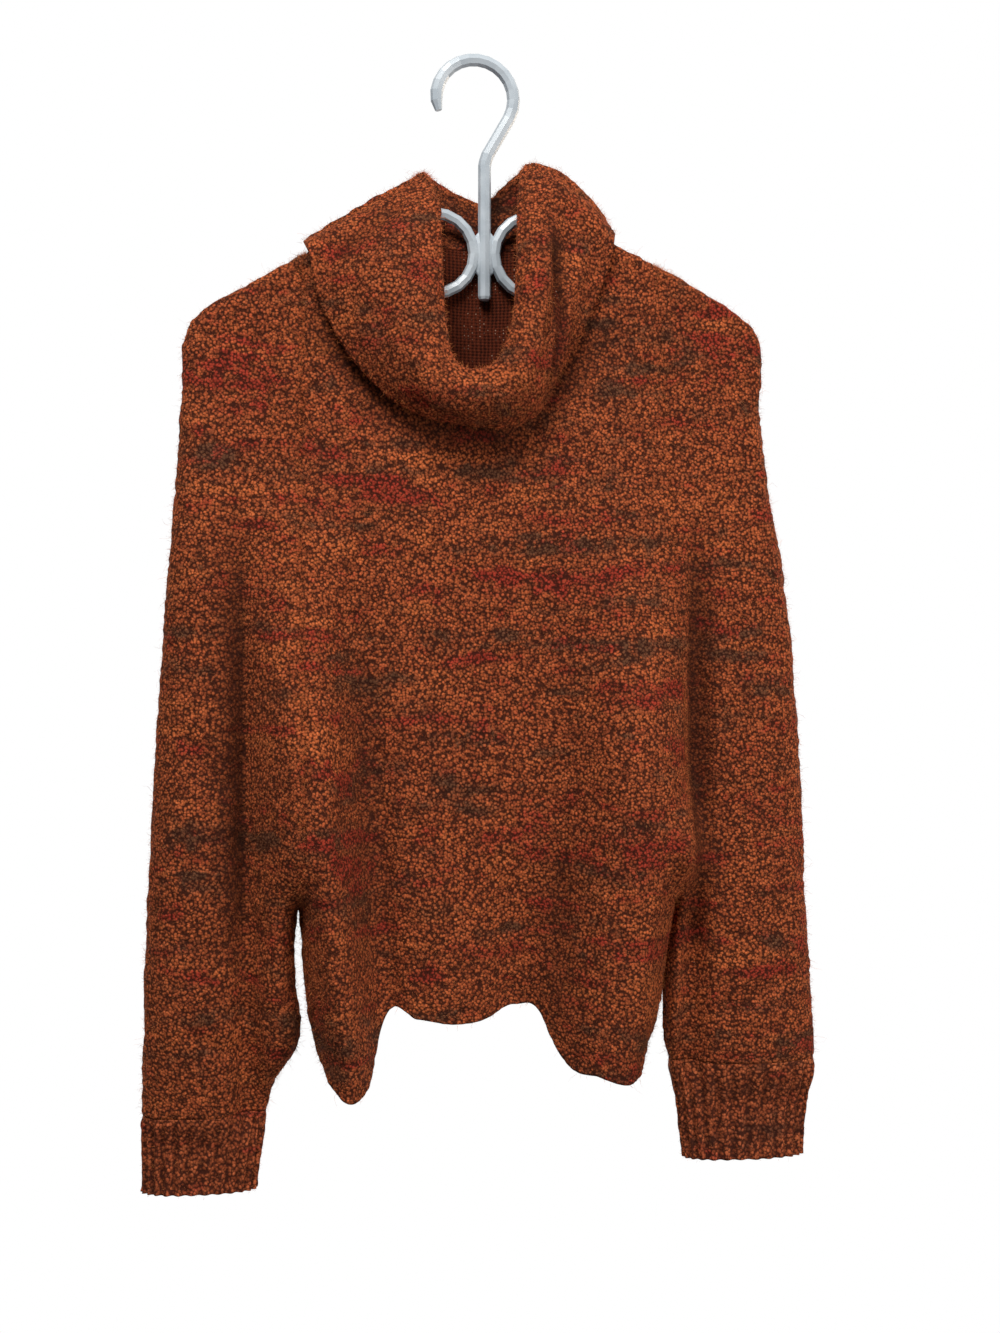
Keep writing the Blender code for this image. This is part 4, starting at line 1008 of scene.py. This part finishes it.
# Painted shade, where its colour is darkened in the folds: two ends (turn, share of the way down), half width,
# strength.
COWL_PAINTED_SHADE = (
    (0.705, 0.15, 0.56, 1.05, 0.008, 0.72),
    (0.69, 0.25, 0.64, 0.6, 0.011, 0.45),
    (0.28, 0.15, 0.3, 0.9, 0.009, 0.35),
)
COWL_MEASURES = (0.56, 0.12)
# Painted shade: how much the layer inside the neck is darkened.
COWL_INSIDE_PAINTED_SHADE = 0.45


def around_loop(rows, turns):
    """Values of a closed table of rows at the given turns, on smooth curves that return to their start."""
    at = [row[0] for row in rows]
    wrapped = [at[-2] - 1, at[-1] - 1, *at, at[0] + 1, at[1] + 1]
    values = [rows[-2][1:], rows[-1][1:], *[row[1:] for row in rows], rows[0][1:], rows[1][1:]]
    return np.stack([smooth_curve(zip(wrapped, column))(turns) for column in zip(*values)], axis=-1)


def neckline_points(turns):
    """The panels' upper edge round the neck on their inner face, moved a seam's width towards the opening."""
    across = -np.sin(2 * np.pi * turns)
    x = NECK_CENTRE + NECK_HALF_WIDTH * across
    in_front = np.cos(2 * np.pi * turns) < 0
    z = NECK_POINT - np.where(in_front, FRONT_NECK_DROP, BACK_NECK_DROP) * (1 - across**2)
    front_points, front_out = cloth_points(x, z, -1, "front")
    back_points, back_out = cloth_points(x, z, 1, "back")
    points = np.where(in_front[:, None], front_points, back_points)
    away = np.where(in_front[:, None], front_out, back_out)
    inward = np.cross(away, np.roll(points, -1, axis=0) - np.roll(points, 1, axis=0))
    inward = inward / np.linalg.norm(inward, axis=-1, keepdims=True)
    return points + NECK_SEAM * inward - WALL * away


turns = np.arange(COWL_COLUMNS) / COWL_COLUMNS
sections = around_loop(COWL_SECTIONS, turns)
crest, stand_off, swell = sections[:, 0:3], sections[:, 5:6], sections[:, 6:7]
edge_x = sections[:, 3]
edge_z = np.minimum(sections[:, 4], shoulder_height(edge_x))
over_front, front_out = cloth_points(edge_x, edge_z, -1, "front")
over_back, back_out = cloth_points(edge_x, edge_z, 1, "back")
in_front = smooth_step(-np.cos(2 * np.pi * turns), -0.06, 0.06)[:, None]
over_front = over_front + front_out * (WALL + stand_off)
over_back = over_back + back_out * (WALL + stand_off)
edge = in_front * over_front + (1 - in_front) * over_back
seam_inner = neckline_points(turns)
chord = (edge - crest) / np.linalg.norm(edge - crest, axis=-1, keepdims=True)
away = np.cross(chord, np.roll(crest, -1, axis=0) - np.roll(crest, 1, axis=0))
away = away / np.linalg.norm(away, axis=-1, keepdims=True)
rows = [
    seam_inner + (crest - COWL_TURN_RADIUS * away - seam_inner) * share
    for share in np.linspace(0, 1, COWL_INNER_ROWS, endpoint=False)
]
for angle in np.linspace(-math.pi / 2, math.pi / 2, COWL_TURN_ROWS):
    rows.append(crest + COWL_TURN_RADIUS * (away * math.sin(angle) - chord * (math.cos(angle) - 0.6)))
trough_turn, trough_turn_width, trough_down, trough_down_width, trough_depth = COWL_TROUGH
near = np.exp(-(((turns - trough_turn) / trough_turn_width) ** 2))[:, None]
for share in np.linspace(0, 1, COWL_OUTER_ROWS + 1)[1:]:
    bulge = swell * math.sin(math.pi * share**0.8) + COWL_TURN_RADIUS * (1 - share)
    trough = trough_depth * near * math.exp(-(((share - trough_down) / trough_down_width) ** 2))
    rows.append(crest + (edge - crest) * share + away * (bulge - trough))
smooth = np.array(rows)
out = np.cross(np.gradient(smooth, axis=0), np.roll(smooth, -1, axis=1) - np.roll(smooth, 1, axis=1))
out = out / np.linalg.norm(out, axis=-1, keepdims=True)
above_the_turn = np.zeros(COWL_INNER_ROWS + COWL_TURN_ROWS)
down = np.concatenate([above_the_turn, np.linspace(0, 1, COWL_OUTER_ROWS + 1)[1:]])[:, None]
width, height = COWL_MEASURES
around, along = turns * width + 0 * down, down * height + 0 * turns
scaled = [
    [(a * width, b * height, c * width, d * height, half, depth) for a, b, c, d, half, depth in table]
    for table in (COWL_CREASES, COWL_PAINTED_SHADE)
]
raised = lumps(smooth) + creases(around, along, scaled[0])
raised = raised * smooth_step(np.arange(len(rows)), 0, 4)[:, None]
inside = smooth_step(-np.arange(len(rows)), -COWL_INNER_ROWS, 4 - COWL_INNER_ROWS)[:, None]
# Painted shade in the folds and on the layer inside the neck.
painted_shade = creases(around, along, scaled[1]) + COWL_INSIDE_PAINTED_SHADE * inside
dye_and_shade = dyes_and_painted_shade(smooth, painted_shade, streak=(0.03, 0.03, 0.012))
collar = cloth_shell("cowl", smooth, out, raised, dye_and_shade, [knit, knit_inside], closed=True)
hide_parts("collar")
raised_points = smooth + raised[..., None] * out
showing = slice(COWL_INNER_ROWS, None)
loose_fibres("cowl", raised_points[showing], out[showing], dye_and_shade[showing], 17000, 1200, 35)

# The hanger: moulded in one from glossy pale plastic, with a hook, a stem, and two bows that carry the
# shoulders. A small web fills the place where the bows meet the stem.
plastic, surface, shade = new_finish("moulded_plastic")
place = shade.node("ShaderNodeTexCoord", {}, {}, 3)
cloud = shade.node("ShaderNodeTexNoise", {}, {"Vector": place, "Scale": 40.0, "Detail": 2.0})
tone = shade.mix(cloud.between(0.35, 0.65), linear(176, 186, 194), linear(196, 205, 212))
plastic.node_tree.links.new(tone.socket, surface.inputs["Base Color"])
scuffs = shade.node("ShaderNodeTexNoise", {}, {"Vector": place, "Scale": 220.0, "Detail": 4.0})
rough = 0.24 + 0.06 * scuffs
plastic.node_tree.links.new(rough.socket, surface.inputs["Roughness"])
surface.inputs["Specular IOR Level"].default_value = 0.5
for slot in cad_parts["hanger"].material_slots:
    slot.material = plastic
